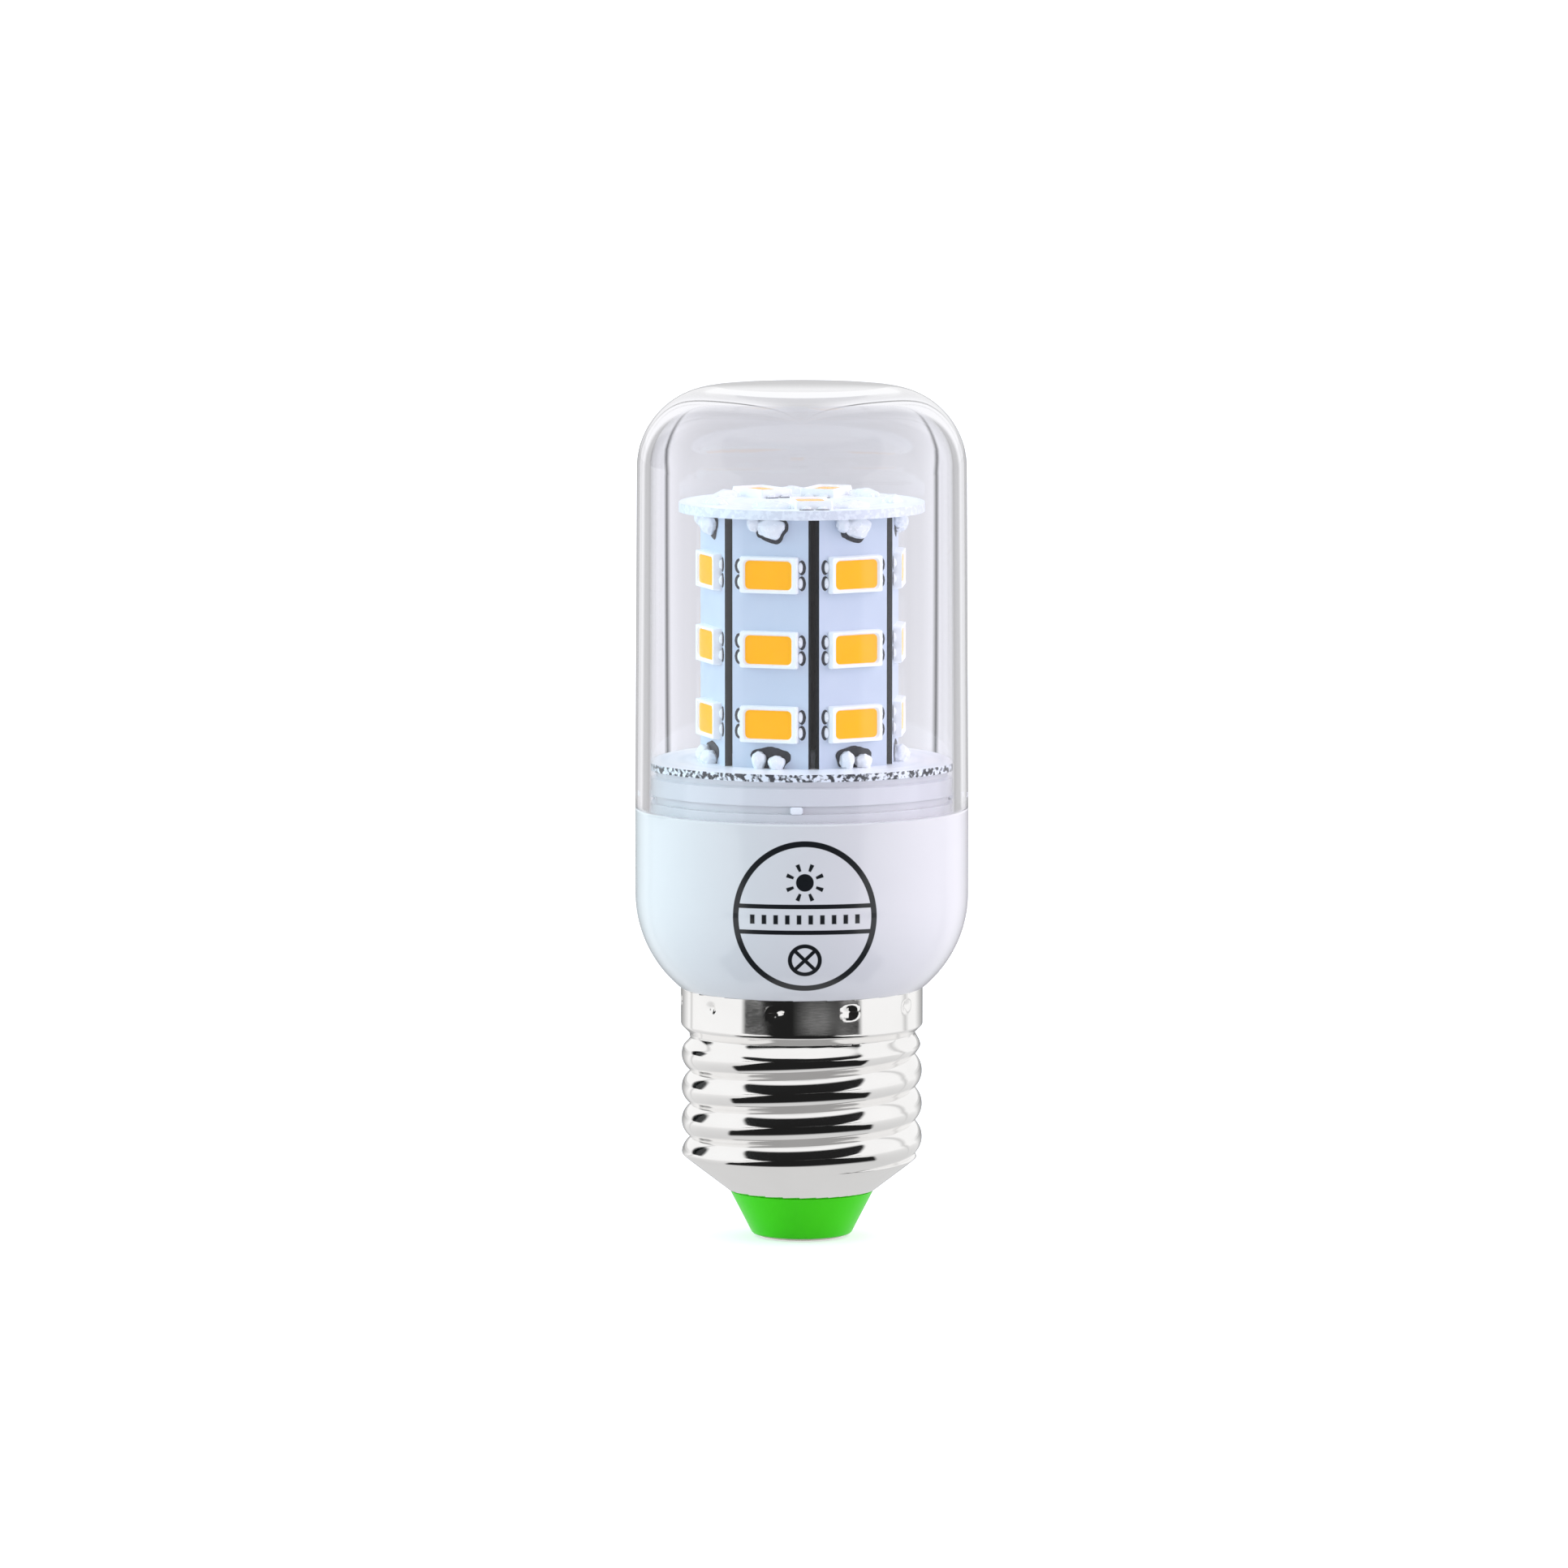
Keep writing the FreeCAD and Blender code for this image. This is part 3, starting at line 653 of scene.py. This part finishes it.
class HousingSettings(bpy.types.PropertyGroup):
    radius: bpy.props.FloatProperty(
        name="Radius", description="Outer radius", default=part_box("housing")[1].x, unit="LENGTH"
    )
    belly_radius: bpy.props.FloatProperty(
        name="Belly radius", description="Radius of the rounded lower part", default=0.0132, unit="LENGTH"
    )
    belly_height: bpy.props.FloatProperty(
        name="Belly height", description="Height of the rounded lower part", default=0.0102, unit="LENGTH"
    )
    white_low: bpy.props.FloatVectorProperty(
        name="White, darker", description="Screen values of the plastic's darker white",
        default=(212, 211, 214),
    )
    white_high: bpy.props.FloatVectorProperty(
        name="White, lighter", description="Screen values of the plastic's lighter white",
        default=(217, 216, 219),
    )
    print_radius: bpy.props.FloatProperty(
        name="Print radius", description="Radius of the printed ring", default=0.0074, unit="LENGTH"
    )
    print_oval: bpy.props.FloatProperty(
        name="Print oval", description="Height of the printed ring over its width", default=1.075
    )
    print_stroke: bpy.props.FloatProperty(
        name="Print stroke", description="Width of the printed lines", default=0.0006, unit="LENGTH"
    )
    print_height: bpy.props.FloatProperty(
        name="Print height", description="Height of the ring's middle", default=0.03695, unit="LENGTH"
    )
    print_shift: bpy.props.FloatProperty(
        name="Print shift", description="How far right of the front the ring is",
        default=0.0003, unit="LENGTH",
    )
    print_bar_high: bpy.props.FloatProperty(
        name="Upper bar", description="Upper bar above the ring's middle", default=0.0012, unit="LENGTH"
    )
    print_bar_low: bpy.props.FloatProperty(
        name="Lower bar", description="Lower bar above the ring's middle", default=-0.0016, unit="LENGTH"
    )
    symbol_high: bpy.props.FloatProperty(
        name="Upper symbol", description="Upper symbol above the ring's middle", default=0.0038, unit="LENGTH"
    )
    symbol_low: bpy.props.FloatProperty(
        name="Lower symbol", description="Lower symbol above the ring's middle",
        default=-0.0047, unit="LENGTH",
    )


class CapSettings(bpy.types.PropertyGroup):
    pitch: bpy.props.FloatProperty(name="Pitch", description="Thread pitch", default=0.003629, unit="LENGTH")
    crest: bpy.props.FloatProperty(
        name="Crest", description="Crest radius of the thread", default=0.01305, unit="LENGTH"
    )
    depth: bpy.props.FloatProperty(
        name="Depth", description="Depth of the thread", default=0.00096, unit="LENGTH"
    )
    crest_height: bpy.props.FloatProperty(
        name="Crest height", description="Height of a crest on the +X side", default=0.01455, unit="LENGTH"
    )
    sheet: bpy.props.FloatProperty(
        name="Sheet", description="Thickness of the sheet", default=0.00035, unit="LENGTH"
    )


class StudioSettings(bpy.types.PropertyGroup):
    distance: bpy.props.FloatProperty(
        name="Distance", description="From the camera to the bulb", default=1.2, unit="LENGTH"
    )
    elevation: bpy.props.FloatProperty(
        name="Elevation", description="Camera's angle above the horizon",
        default=math.radians(6.25), subtype="ANGLE",
    )
    width: bpy.props.FloatProperty(
        name="Width", description="Width of the view at the bulb", default=0.1699, unit="LENGTH"
    )
    aim: bpy.props.FloatVectorProperty(
        name="Aim", description="Point at the middle of the view",
        default=(-0.00193, 0.0, 0.0494), unit="LENGTH",
    )
    front_light: bpy.props.FloatProperty(
        name="Front light", description="Strength of the light from the front", default=0.49
    )
    top_light: bpy.props.FloatProperty(
        name="Top light", description="Strength of the light from above and behind", default=1.08
    )
    side_light: bpy.props.FloatProperty(
        name="Side light", description="Strength that is added to the left and right", default=3.3
    )
    left_tint: bpy.props.FloatVectorProperty(
        name="Left tint", description="Colour of the light from the left",
        default=(0.71, 0.97, 1.0), subtype="COLOR",
    )
    right_tint: bpy.props.FloatVectorProperty(
        name="Right tint", description="Colour of the light from the right",
        default=(0.95, 0.92, 1.0), subtype="COLOR",
    )
    floor_glow: bpy.props.FloatProperty(
        name="Floor glow", description="How much the floor's seen white is lifted", default=0.5
    )
    veil: bpy.props.FloatProperty(
        name="Veil", description="How much the backdrop behind the clear cover is dimmed", default=0.33
    )
    rim: bpy.props.FloatProperty(
        name="Rim", description="How dark the cards behind are, which draw the outlines", default=0.65
    )
    card_edge: bpy.props.FloatProperty(
        name="Card edge", description="Cosine of half the dark card's width, seen from the bulb", default=0.53
    )


class BulbSettings(bpy.types.PropertyGroup):
    cover: bpy.props.PointerProperty(type=CoverSettings, name="Cover", description="Clear cover")
    housing: bpy.props.PointerProperty(type=HousingSettings, name="Housing", description="White housing")
    cap: bpy.props.PointerProperty(type=CapSettings, name="Cap", description="Screw cap")
    studio: bpy.props.PointerProperty(type=StudioSettings, name="Studio", description="Camera and light")


# Operators


class CORNBULB_OT_cover(bpy.types.Operator):
    """Makes the clear cover and its snap lugs"""

    bl_idname = "corn_bulb.cover"
    bl_label = "Clear Cover"

    def execute(self, context):
        s = context.scene.corn_bulb.cover
        top_radius = s.radius - s.draft
        centre = (top_radius - s.corner, COVER_TOP - s.corner)
        rim = SEAM - 0.00002
        profile = [
            (s.radius, rim),
            *bend(centre, s.corner, 0, 90, 24),
            (0, COVER_TOP),
            (0, COVER_TOP - s.wall),
            *bend(centre, s.corner - s.wall, 90, 0, 24),
            (s.radius - s.wall, rim),
        ]
        mesh = turned("cover_shell", profile, 192)
        add_piece("cover_shell", mesh, clear_finish(s), "clear_cover", "clear_cover")

        lug = finish("lug_plastic", mottled(rgb(236, 238, 244), rgb(250, 250, 253), 900))
        made = bmesh.new()
        place = Matrix.Translation((SPIGOT_RADIUS - 0.00005, 0, SEAM + 0.00135))
        size = Matrix.Diagonal((0.0007, 0.0013, 0.0008, 1))
        for degrees in (-92, -2, 88, 178):
            turn = Matrix.Rotation(math.radians(degrees), 4, "Z")
            bmesh.ops.create_cube(made, size=1, matrix=turn @ place @ size)
        bmesh.ops.bevel(made, geom=made.edges[:], offset=0.00012, segments=2, affect="EDGES")
        add_piece("snap_lugs", meshed("snap_lugs", made), lug, "clear_cover")
        return {"FINISHED"}


class CORNBULB_OT_housing(bpy.types.Operator):
    """Makes the white housing with its rounded belly, grooved spigot and print"""

    bl_idname = "corn_bulb.housing"
    bl_label = "Housing"

    def execute(self, context):
        s = context.scene.corn_bulb.housing
        neck, neck_bore, bore, edge = 0.01273, 0.0110, 0.0148, 0.0003
        bore_floor = CAP_TOP + 0.0046
        belly = (s.radius - s.belly_radius, CAP_TOP + s.belly_height)
        start = -math.degrees(math.asin(s.belly_height / s.belly_radius))
        groove = SPIGOT_RADIUS - 0.00045
        chamfer = SPIGOT_RADIUS - 0.0005
        profile = [
            (neck_bore, NECK_BOTTOM),
            (neck - edge, NECK_BOTTOM),
            (neck, NECK_BOTTOM + edge),
            (neck, CAP_TOP),
            *bend(belly, s.belly_radius, start, 0, 28),
            *bend((s.radius - edge, SEAM - edge), edge, 0, 90, 5),
            (SPIGOT_RADIUS, SEAM),
            (SPIGOT_RADIUS, SEAM + 0.0009),
            (groove, SEAM + 0.00095),
            (groove, SEAM + 0.00175),
            (SPIGOT_RADIUS, SEAM + 0.0018),
            (SPIGOT_RADIUS, SPIGOT_TOP - 0.0008),
            (chamfer, SPIGOT_TOP - 0.0006),
            (chamfer, SPIGOT_TOP),
            (bore, SPIGOT_TOP),
            (bore, bore_floor),
            (neck_bore, bore_floor),
        ]
        mesh = turned("housing_shell", profile, 192)
        gloss = {"Coat Weight": 0.6, "Coat Roughness": 0.05}
        plastic = finish("housing_plastic", lambda nodes: housing_build(nodes, s), **gloss)
        add_piece("housing_shell", mesh, plastic, "white_housing", "housing")
        return {"FINISHED"}


class CORNBULB_OT_cap(bpy.types.Operator):
    """Rolls the threaded cap from thin sheet"""

    bl_idname = "corn_bulb.cap"
    bl_label = "Screw Cap"

    def execute(self, context):
        s = context.scene.corn_bulb.cap
        nickel = finish("nickel_plate", nickel_build, Metallic=1.0)
        values = {
            "Height": CAP_TOP - LIP_TOP,
            "Foot": LIP_TOP,
            "Lip": 0.008,
            "Slope": 1.3,
            "Root": s.crest - s.depth,
            "Depth": s.depth,
            "Crest Arc": 1.3,
            "Root Floor": 0.02,
            "Root Gather": 0.75,
            "Turns": 7.5,
            "Middle Turn": 0.75,
            "Rows Per Turn": 34,
            "Pitch": s.pitch,
            "Crest Height": s.crest_height,
            "Collar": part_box("screw_shell")[1].x,
            "Flare Top": CAP_TOP - 0.0041,
            "Flare Slope": 1.0,
            "Crimp Turn": math.radians(-102.5 + 18),
            "Crimp Step": math.tau / 10,
            "Crimp Height": CAP_TOP - 0.0014,
            "Crimp Radius": 0.0009,
            "Crimp Depth": 0.0004,
            "Steps Round": 225,
            "Material": nickel,
        }
        mesh = grown("rolled_cap", rolled_cap, values)
        soft = math.radians(60)
        cap = add_piece("rolled_cap", mesh, nickel, "nickel_shell", "screw_shell", smooth_below=soft)
        sheet = cap.modifiers.new("sheet", "SOLIDIFY")
        sheet.thickness = s.sheet
        sheet.offset = -1
        return {"FINISHED"}


class CORNBULB_OT_foot(bpy.types.Operator):
    """Makes the green insulator and the riveted centre contact"""

    bl_idname = "corn_bulb.foot"
    bl_label = "Insulator and Contact"

    def execute(self, context):
        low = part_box("cap_insulator")[0].z
        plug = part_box("cap_insulator")[1].z
        rivet_hole, rivet, contact = 0.00125, 0.0012, 0.0046
        profile = [
            (rivet_hole, low),
            (0.0047, low),
            *bend((0.00505, low + 0.0005), 0.0005, -90, -28, 6),
            (0.0078, LIP_TOP - 0.00015),
            (0.0076, LIP_TOP),
            (0.0076, plug),
            (rivet_hole, plug),
        ]
        look = mottled(rgb(58, 212, 0), rgb(70, 222, 6), 220, rough=(0.25, 0.35), relief=0.05)
        green = finish("insulator_green", look, **{"Specular IOR Level": 0.25})
        mesh = turned("insulator_turned", profile, 128)
        add_piece("insulator_turned", mesh, green, "green_insulator", "cap_insulator")

        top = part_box("centre_contact")[1].z
        look = mottled(rgb(196, 190, 174), rgb(226, 222, 210), 600, rough=(0.2, 0.35), relief=0.1)
        plate = finish("contact_plate", look, Metallic=1.0)
        disc = [
            (0, 0),
            (0.0042, 0),
            (contact, 0.0001),
            (contact, low),
            (rivet, low),
            (rivet, plug),
            (0.0020, plug),
            (0.0019, top - 0.0003),
            (0.0013, top),
            (0, top),
        ]
        mesh = turned("contact_turned", disc, 96)
        add_piece("contact_turned", mesh, plate, "contact_metal", "centre_contact")
        return {"FINISHED"}


class CORNBULB_OT_column(bpy.types.Operator):
    """Finishes the boards, the LED packages and their phosphor, and adds the solder"""

    bl_idname = "corn_bulb.column"
    bl_label = "Light Column"

    def execute(self, context):
        board = finish("board_mask", board_build)
        looks = {
            "side_board": board,
            # the base board's edge is painted shade: near-black, standing for the shadowed gap between the deck
            # and the spigot
            "base_board": finish("base_mask", lambda nodes: disc_build(nodes, rgb(36, 38, 46))),
            "top_board": finish("top_mask", lambda nodes: disc_build(nodes, rgb(222, 226, 234))),
        }
        for name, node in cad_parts.items():
            for start, material in looks.items():
                if name.startswith(start):
                    dress(node, material)

        # where two boards meet: its angle in degrees, and how far out it is
        edge_angle, edge_reach = -83.5, 0.01126
        places = {
            "Boards": SIDE_BOARDS,
            "First Board": math.radians(edge_angle - 180 / SIDE_BOARDS),
            "Board Step": math.tau / SIDE_BOARDS,
            "Face": edge_reach * math.cos(math.pi / SIDE_BOARDS),
            "Above": TOP_BOARD_TOP,
        }
        self.packages(places)

        tin = finish("tin_solder", solder_build, Metallic=0.1)
        # painted shade: near-black sheets round the solder blobs and behind the package ends
        painted_shade = finish("painted_shade_dark", mottled(rgb(16, 18, 24), rgb(44, 46, 56), 2000, relief=0.1))
        joints = {**places, "Top": COLUMN_TOP, "Deck": DECK_TOP, "Lumps": 0.6}
        mesh = grown("solder_blobs", solder_blobs, {**joints, "Material": tin})
        add_piece("solder_blobs", mesh, tin, "solder", "solder_top", "solder_base")
        mesh = grown("painted_shade_rings", painted_shade_rings, {**joints, "Material": painted_shade})
        add_piece("painted_shade_rings", mesh, painted_shade, "chip_black")
        return {"FINISHED"}

    def packages(self, places):
        """White frames with rounded windows, recessed phosphor and soldered ends, with dark pads of painted shadow
        behind the ends, on every seat.
        """
        low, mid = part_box("led_1_1"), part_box("led_1_2")
        centre = (low[0].z + low[1].z) / 2
        seats = {
            **places,
            "Rows": ROWS,
            "First Height": centre,
            "Pitch": (mid[0].z + mid[1].z) / 2 - centre,
            "Ring": 0.0082,
        }
        long, tall, thick, floor = 0.0064, 0.0040, 0.0009, 0.0006
        bevel = 0.00016
        frame_levels = [
            (rounded(long - 0.0001, tall, 0.0002), 0.0),
            (rounded(long, tall, 0.0002), 0.0004),
            (rounded(long - bevel, tall - bevel, 0.0002), thick),
            (rounded(0.0055, 0.00335, 0.0005), thick),
            (rounded(0.0051, 0.0030, 0.0005), floor),
        ]
        window_levels = [
            (rounded(0.0052, 0.0031, 0.0005), floor),
            (rounded(0.0052, 0.0031, 0.0005), thick - 0.00024),
            (rounded(0.0046, 0.0026, 0.0004), thick - 0.0002),
        ]
        white = finish("package_white", mottled(rgb(248, 250, 252), rgb(254, 255, 255), 1500, relief=0.05))
        # painted glow: the phosphor emits a faint orange light of its own, though the bulb is off
        resin_and_glow = {
            "Emission Color": rgb(255, 174, 0),
            "Emission Strength": 0.16,
            "Specular IOR Level": 0.2,
            "IOR": 1.35,
        }
        phosphor = finish("phosphor_yellow", phosphor_build, **resin_and_glow)
        tin = finish("terminal_tin", solder_build, Metallic=0.2)
        # painted shadow: dark pads behind each package's ends, for the shadows beside them
        painted_shade = finish("terminal_painted_shade", mottled(rgb(18, 20, 26), rgb(50, 52, 62), 2000, relief=0.1))
        seed = stacked("package_seed", frame_levels)
        mesh = grown("led_frames", led_seats, {**seats, "Material": white}, seed)
        packages = [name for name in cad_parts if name.startswith("led_") and "pin" not in name]
        add_piece("led_frames", mesh, white, "package_white", *packages, smooth_below=math.radians(30))
        seed = stacked("window_seed", window_levels)
        mesh = grown("led_windows", led_seats, {**seats, "Material": phosphor}, seed)
        fills = [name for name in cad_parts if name.startswith("phosphor")]
        add_piece("led_windows", mesh, phosphor, "phosphor_yellow", *fills, smooth_below=math.radians(50))

        seed = self.ends(long, 0.00055, 0.0011, 0.00035)
        mesh = grown("led_terminals", led_seats, {**seats, "Material": tin}, seed)
        add_piece("led_terminals", mesh, tin, "solder")
        # the painted shadow pads are wider and taller than the terminals and lie flat behind them
        seed = self.ends(long, 0.00085, 0.0015, 0.00008)
        mesh = grown("led_painted_shade", led_seats, {**seats, "Material": painted_shade}, seed)
        add_piece("led_painted_shade", mesh, painted_shade, "chip_black")

    def ends(self, long, reach, tall, thick):
        """Four rounded pads at a package's two short ends."""
        made = bmesh.new()
        for side in (-1, 1):
            for up in (-0.00085, 0.00085):
                centre = Matrix.Translation((0, side * (long / 2 + reach / 2 - 0.0001), up))
                size = Matrix.Diagonal((thick * 2, reach, tall, 1))
                bmesh.ops.create_icosphere(made, subdivisions=2, radius=0.55, matrix=centre @ size)
        return meshed("ends_seed", made)


def dress(node, material):
    """Gives a carried-over CAD node its material."""
    node.data.materials.clear()
    node.data.materials.append(material)


class CORNBULB_OT_driver(bpy.types.Operator):
    """Finishes the driver's parts and wires inside the housing"""

    bl_idname = "corn_bulb.driver"
    bl_label = "Driver"

    def execute(self, context):
        plain = {
            "driver_board": ("driver_laminate", rgb(30, 96, 52), rgb(40, 116, 62)),
            "smoothing_capacitor": ("can_sleeve", rgb(20, 24, 34), rgb(34, 40, 54)),
            "dropper_capacitor": ("dropper_case", rgb(150, 44, 24), rgb(176, 60, 34)),
            "bridge_rectifier": ("rectifier_black", rgb(22, 22, 22), rgb(38, 38, 38)),
            "bleed_resistor": ("resistor_black", rgb(18, 18, 20), rgb(34, 34, 36)),
            "fuse_resistor": ("fuse_body", rgb(96, 140, 176), rgb(120, 164, 196)),
            "live_lead": ("live_sleeve", rgb(160, 24, 20), rgb(190, 40, 30)),
            "neutral_lead": ("neutral_sleeve", rgb(24, 24, 28), rgb(48, 48, 54)),
            "led_pin_plus": ("pin_plate", rgb(206, 174, 100), rgb(226, 198, 130)),
            "led_pin_minus": ("pin_plate_second", rgb(206, 174, 100), rgb(226, 198, 130)),
        }
        for name, (label, low, high) in plain.items():
            metal = 1.0 if name.startswith("led_pin") else 0.0
            dress(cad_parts[name], finish(label, mottled(low, high, 700, relief=0.1), Metallic=metal))
        return {"FINISHED"}


class CORNBULB_OT_studio(bpy.types.Operator):
    """Sets the camera, the floor and the surround"""

    bl_idname = "corn_bulb.studio"
    bl_label = "Studio"

    def execute(self, context):
        scene = context.scene
        s = scene.corn_bulb.studio
        scene.view_settings.view_transform = "Standard"

        lens = bpy.data.cameras.new("camera")
        lens.sensor_width = 36
        lens.lens = lens.sensor_width * s.distance / s.width
        lens.clip_start = 0.05
        lens.clip_end = 20
        camera = bpy.data.objects.new("camera", lens)
        scene.collection.objects.link(camera)
        back = Vector((0, -math.cos(s.elevation), math.sin(s.elevation)))
        camera.location = Vector(s.aim) + back * s.distance
        camera.rotation_euler = (-back).to_track_quat("-Z", "Y").to_euler()
        scene.camera = camera

        floor = bpy.data.objects.new("floor", turned("floor", [(0, 0), (6.0, 0)], 96, closed=False))
        scene.collection.objects.link(floor)
        floor.data.materials.append(self.floor_white(s))
        self.surround(scene, s)
        return {"FINISHED"}

    def floor_white(self, s):
        """Pale paint that keeps the bulb's shadow. Mirrors and the clear cover see plain white with the cards, and
        mirrors also a painted shadow round the bulb's foot.
        """
        material = bpy.data.materials.new("floor_white")
        material.use_nodes = True
        nodes = Nodes(material.node_tree)
        camera, indirect, mirror, through = self.sight(nodes)
        place = nodes.place()
        x, y, z = nodes.split(place)
        reach = reach_of(x, y) + 0.0001

        # the slope at which a ray from the cap meets the floor
        cap_height, cap_radius, steepest = 0.015, 0.012, 0.5
        steep = (cap_height / (reach - cap_radius).math("MAXIMUM", 0.005)).math("MINIMUM", steepest)
        card, window, rim, back, dim = self.cards(x / reach, y / reach, s, steep, abs(VIEW_DROP - steep))

        # the ring of floor that the collar mirrors: the dark card has no windows there, but a greyer patch
        ring_reach, half_ring, half_patch = 0.206, 0.035, 0.010
        from_ring = abs(reach - ring_reach)
        ring = inked(from_ring - half_ring, 0.004)
        patch = inked(from_ring - half_patch, 0.008) * inked(abs(x / reach - 0.25) - 0.25, 0.3) * 0.35
        beside = reach - 0.02
        card = card * beside.ramp(200) * (1.0 - window * (1.0 - ring)) * (1.0 - patch)
        # painted shadow: the floor that mirrors see is dimmed near the bulb, in place of the bulb's own contact
        # shadow
        mirrored_contact_shadow = (1.0 - beside * 12).clamped() * 0.3
        mirrored = (card + rim + back).math("MAXIMUM", mirrored_contact_shadow)
        lit = 1.0 - (mirrored * mirror + dim * through).clamped()

        white = nodes.mix(nodes.noise(place, 12), rgb(218, 218, 220), rgb(222, 222, 224))
        colour = nodes.mix(indirect, white, (0, 0, 0, 1))
        paint = nodes.out("ShaderNodeBsdfDiffuse", inputs={"Color": colour})
        level = camera * s.floor_glow + indirect * lit
        glow = nodes.out("ShaderNodeEmission", inputs={"Color": (1, 1, 1, 1), "Strength": level})
        nodes.surface(nodes.node("ShaderNodeAddShader", inputs={0: paint, 1: glow}))
        return material

    def sight(self, nodes):
        """Whether a ray comes from the camera, whether from a mirror or the clear cover, and how much from each.

        A second mirroring, which the roots of the thread show, counts for less than a first one.
        """
        kinds = ("Is Camera Ray", "Is Glossy Ray", "Is Transmission Ray", "Glossy Depth")
        camera, glossy, through, times = nodes.path(*kinds)
        mirror = glossy * (1.0 - through) * (1.0 - (times - 1.0).clamped() * 0.4)
        return camera, any_of(glossy, through), mirror, through

    def cards(self, x, y, s, steep, off):
        """How much each of the studio's cards dims a direction.

        x and y are its level heading, steep is its slope and off is how far that is from the camera's own. In
        mirrors there are a dark card in front, white windows beside it, a rim behind and two grey cards. Through
        the clear cover there are a veil behind the bulb, a line along each of its edges and wings beyond them.
        """
        dark, grey, line_dark, wing_dark = 0.985, 0.35, 0.95, 0.55
        high = steep.math("MINIMUM", 0.7)
        card = (high * high * 0.6 - y - s.card_edge).ramp(14) * dark
        window = (y + 0.9 - off * 1.1).ramp(20) * (0.33 - off).ramp(20)
        rim = (y - 0.7).ramp(4) * s.rim
        right = (y - 0.4).strip(10) * inked(0.0 - x, 0.1)
        left = (y - 0.61).strip(20) * inked(x, 0.1)
        aside = abs(x)
        veil = (1.0 - aside * aside * 40).clamped() * s.veil
        line = (aside - 0.19).strip(45) * line_dark
        wings = (aside - 0.42).ramp(12) * wing_dark
        return card, window, rim, (right + left) * grey, (veil + line + wings) * inked(0.05 - y, 0.1)

    def surround(self, scene, s):
        """White with the cards where it is seen, and otherwise soft tinted light that is weaker in front."""
        world = bpy.data.worlds.new("surround")
        scene.world = world
        world.use_nodes = True
        nodes = Nodes(world.node_tree)
        camera, indirect, mirror, through = self.sight(nodes)
        seen = any_of(camera, indirect)
        x, y, z = nodes.split(nodes.out("ShaderNodeTexCoord", output="Generated"))
        level = reach_of(x, y) + 0.0001
        flat_x, flat_y = x / level, y / level
        card, window, rim, back, dim = self.cards(flat_x, flat_y, s, abs(z), abs(z + VIEW_DROP))
        card = card * (0.78 - abs(z)).ramp(12) * (1.0 - window)
        back = back + rim * 0.6 * (0.09 - z).ramp(40)
        zenith = (abs(z) - 0.9).ramp(14) * 0.25

        # a small card at the left, which each crest of the thread shows as a dark dot
        spot_x, spot_y, spot_z = -0.843, 0.538, 0.18
        off_x, off_y, off_z = (flat_x - spot_x) * 4, (flat_y - spot_y) * 4, (z - spot_z) * 3.2
        spot = (2.0 - (off_x * off_x + off_y * off_y + off_z * off_z) * 2).clamped() * 0.95
        mirrored = (card + back + spot).math("MAXIMUM", zenith)
        bright = 1.0 - (mirrored * mirror + dim * through).clamped()

        front = (-0.3 - y).ramp(1.6)
        soft = s.top_light + (s.front_light - s.top_light) * front + (x * x) ** 2 * s.side_light
        tint = nodes.mix((x + 1.0).clamped(), (*s.left_tint, 1.0), (*s.right_tint, 1.0))
        inputs = {
            "Color": nodes.mix(seen, tint, (1, 1, 1, 1)),
            "Strength": seen * bright + (1.0 - seen) * soft,
        }
        light = nodes.out("ShaderNodeBackground", inputs=inputs)
        nodes.node("ShaderNodeOutputWorld", inputs={"Surface": light})


class CORNBULB_PT_panel(bpy.types.Panel):
    """Lists the bulb's operators"""

    bl_idname = "CORNBULB_PT_panel"
    bl_label = "Corn LED Bulb"
    bl_space_type = "VIEW_3D"
    bl_region_type = "UI"
    bl_category = "Corn Bulb"

    def draw(self, context):
        for operator in OPERATORS:
            self.layout.operator(operator.bl_idname)


OPERATORS = (
    CORNBULB_OT_studio,
    CORNBULB_OT_cover,
    CORNBULB_OT_housing,
    CORNBULB_OT_cap,
    CORNBULB_OT_foot,
    CORNBULB_OT_column,
    CORNBULB_OT_driver,
)
SETTINGS = (CoverSettings, HousingSettings, CapSettings, StudioSettings, BulbSettings)


def register():
    for kind in (*SETTINGS, *OPERATORS, CORNBULB_PT_panel):
        bpy.utils.register_class(kind)
    bpy.types.Scene.corn_bulb = bpy.props.PointerProperty(type=BulbSettings)


def unregister():
    del bpy.types.Scene.corn_bulb
    for kind in reversed((*SETTINGS, *OPERATORS, CORNBULB_PT_panel)):
        bpy.utils.unregister_class(kind)


def main():
    register()
    bpy.ops.corn_bulb.studio()
    bpy.ops.corn_bulb.cover()
    bpy.ops.corn_bulb.housing()
    bpy.ops.corn_bulb.cap()
    bpy.ops.corn_bulb.foot()
    bpy.ops.corn_bulb.column()
    bpy.ops.corn_bulb.driver()


if __name__ == "__main__":
    main()
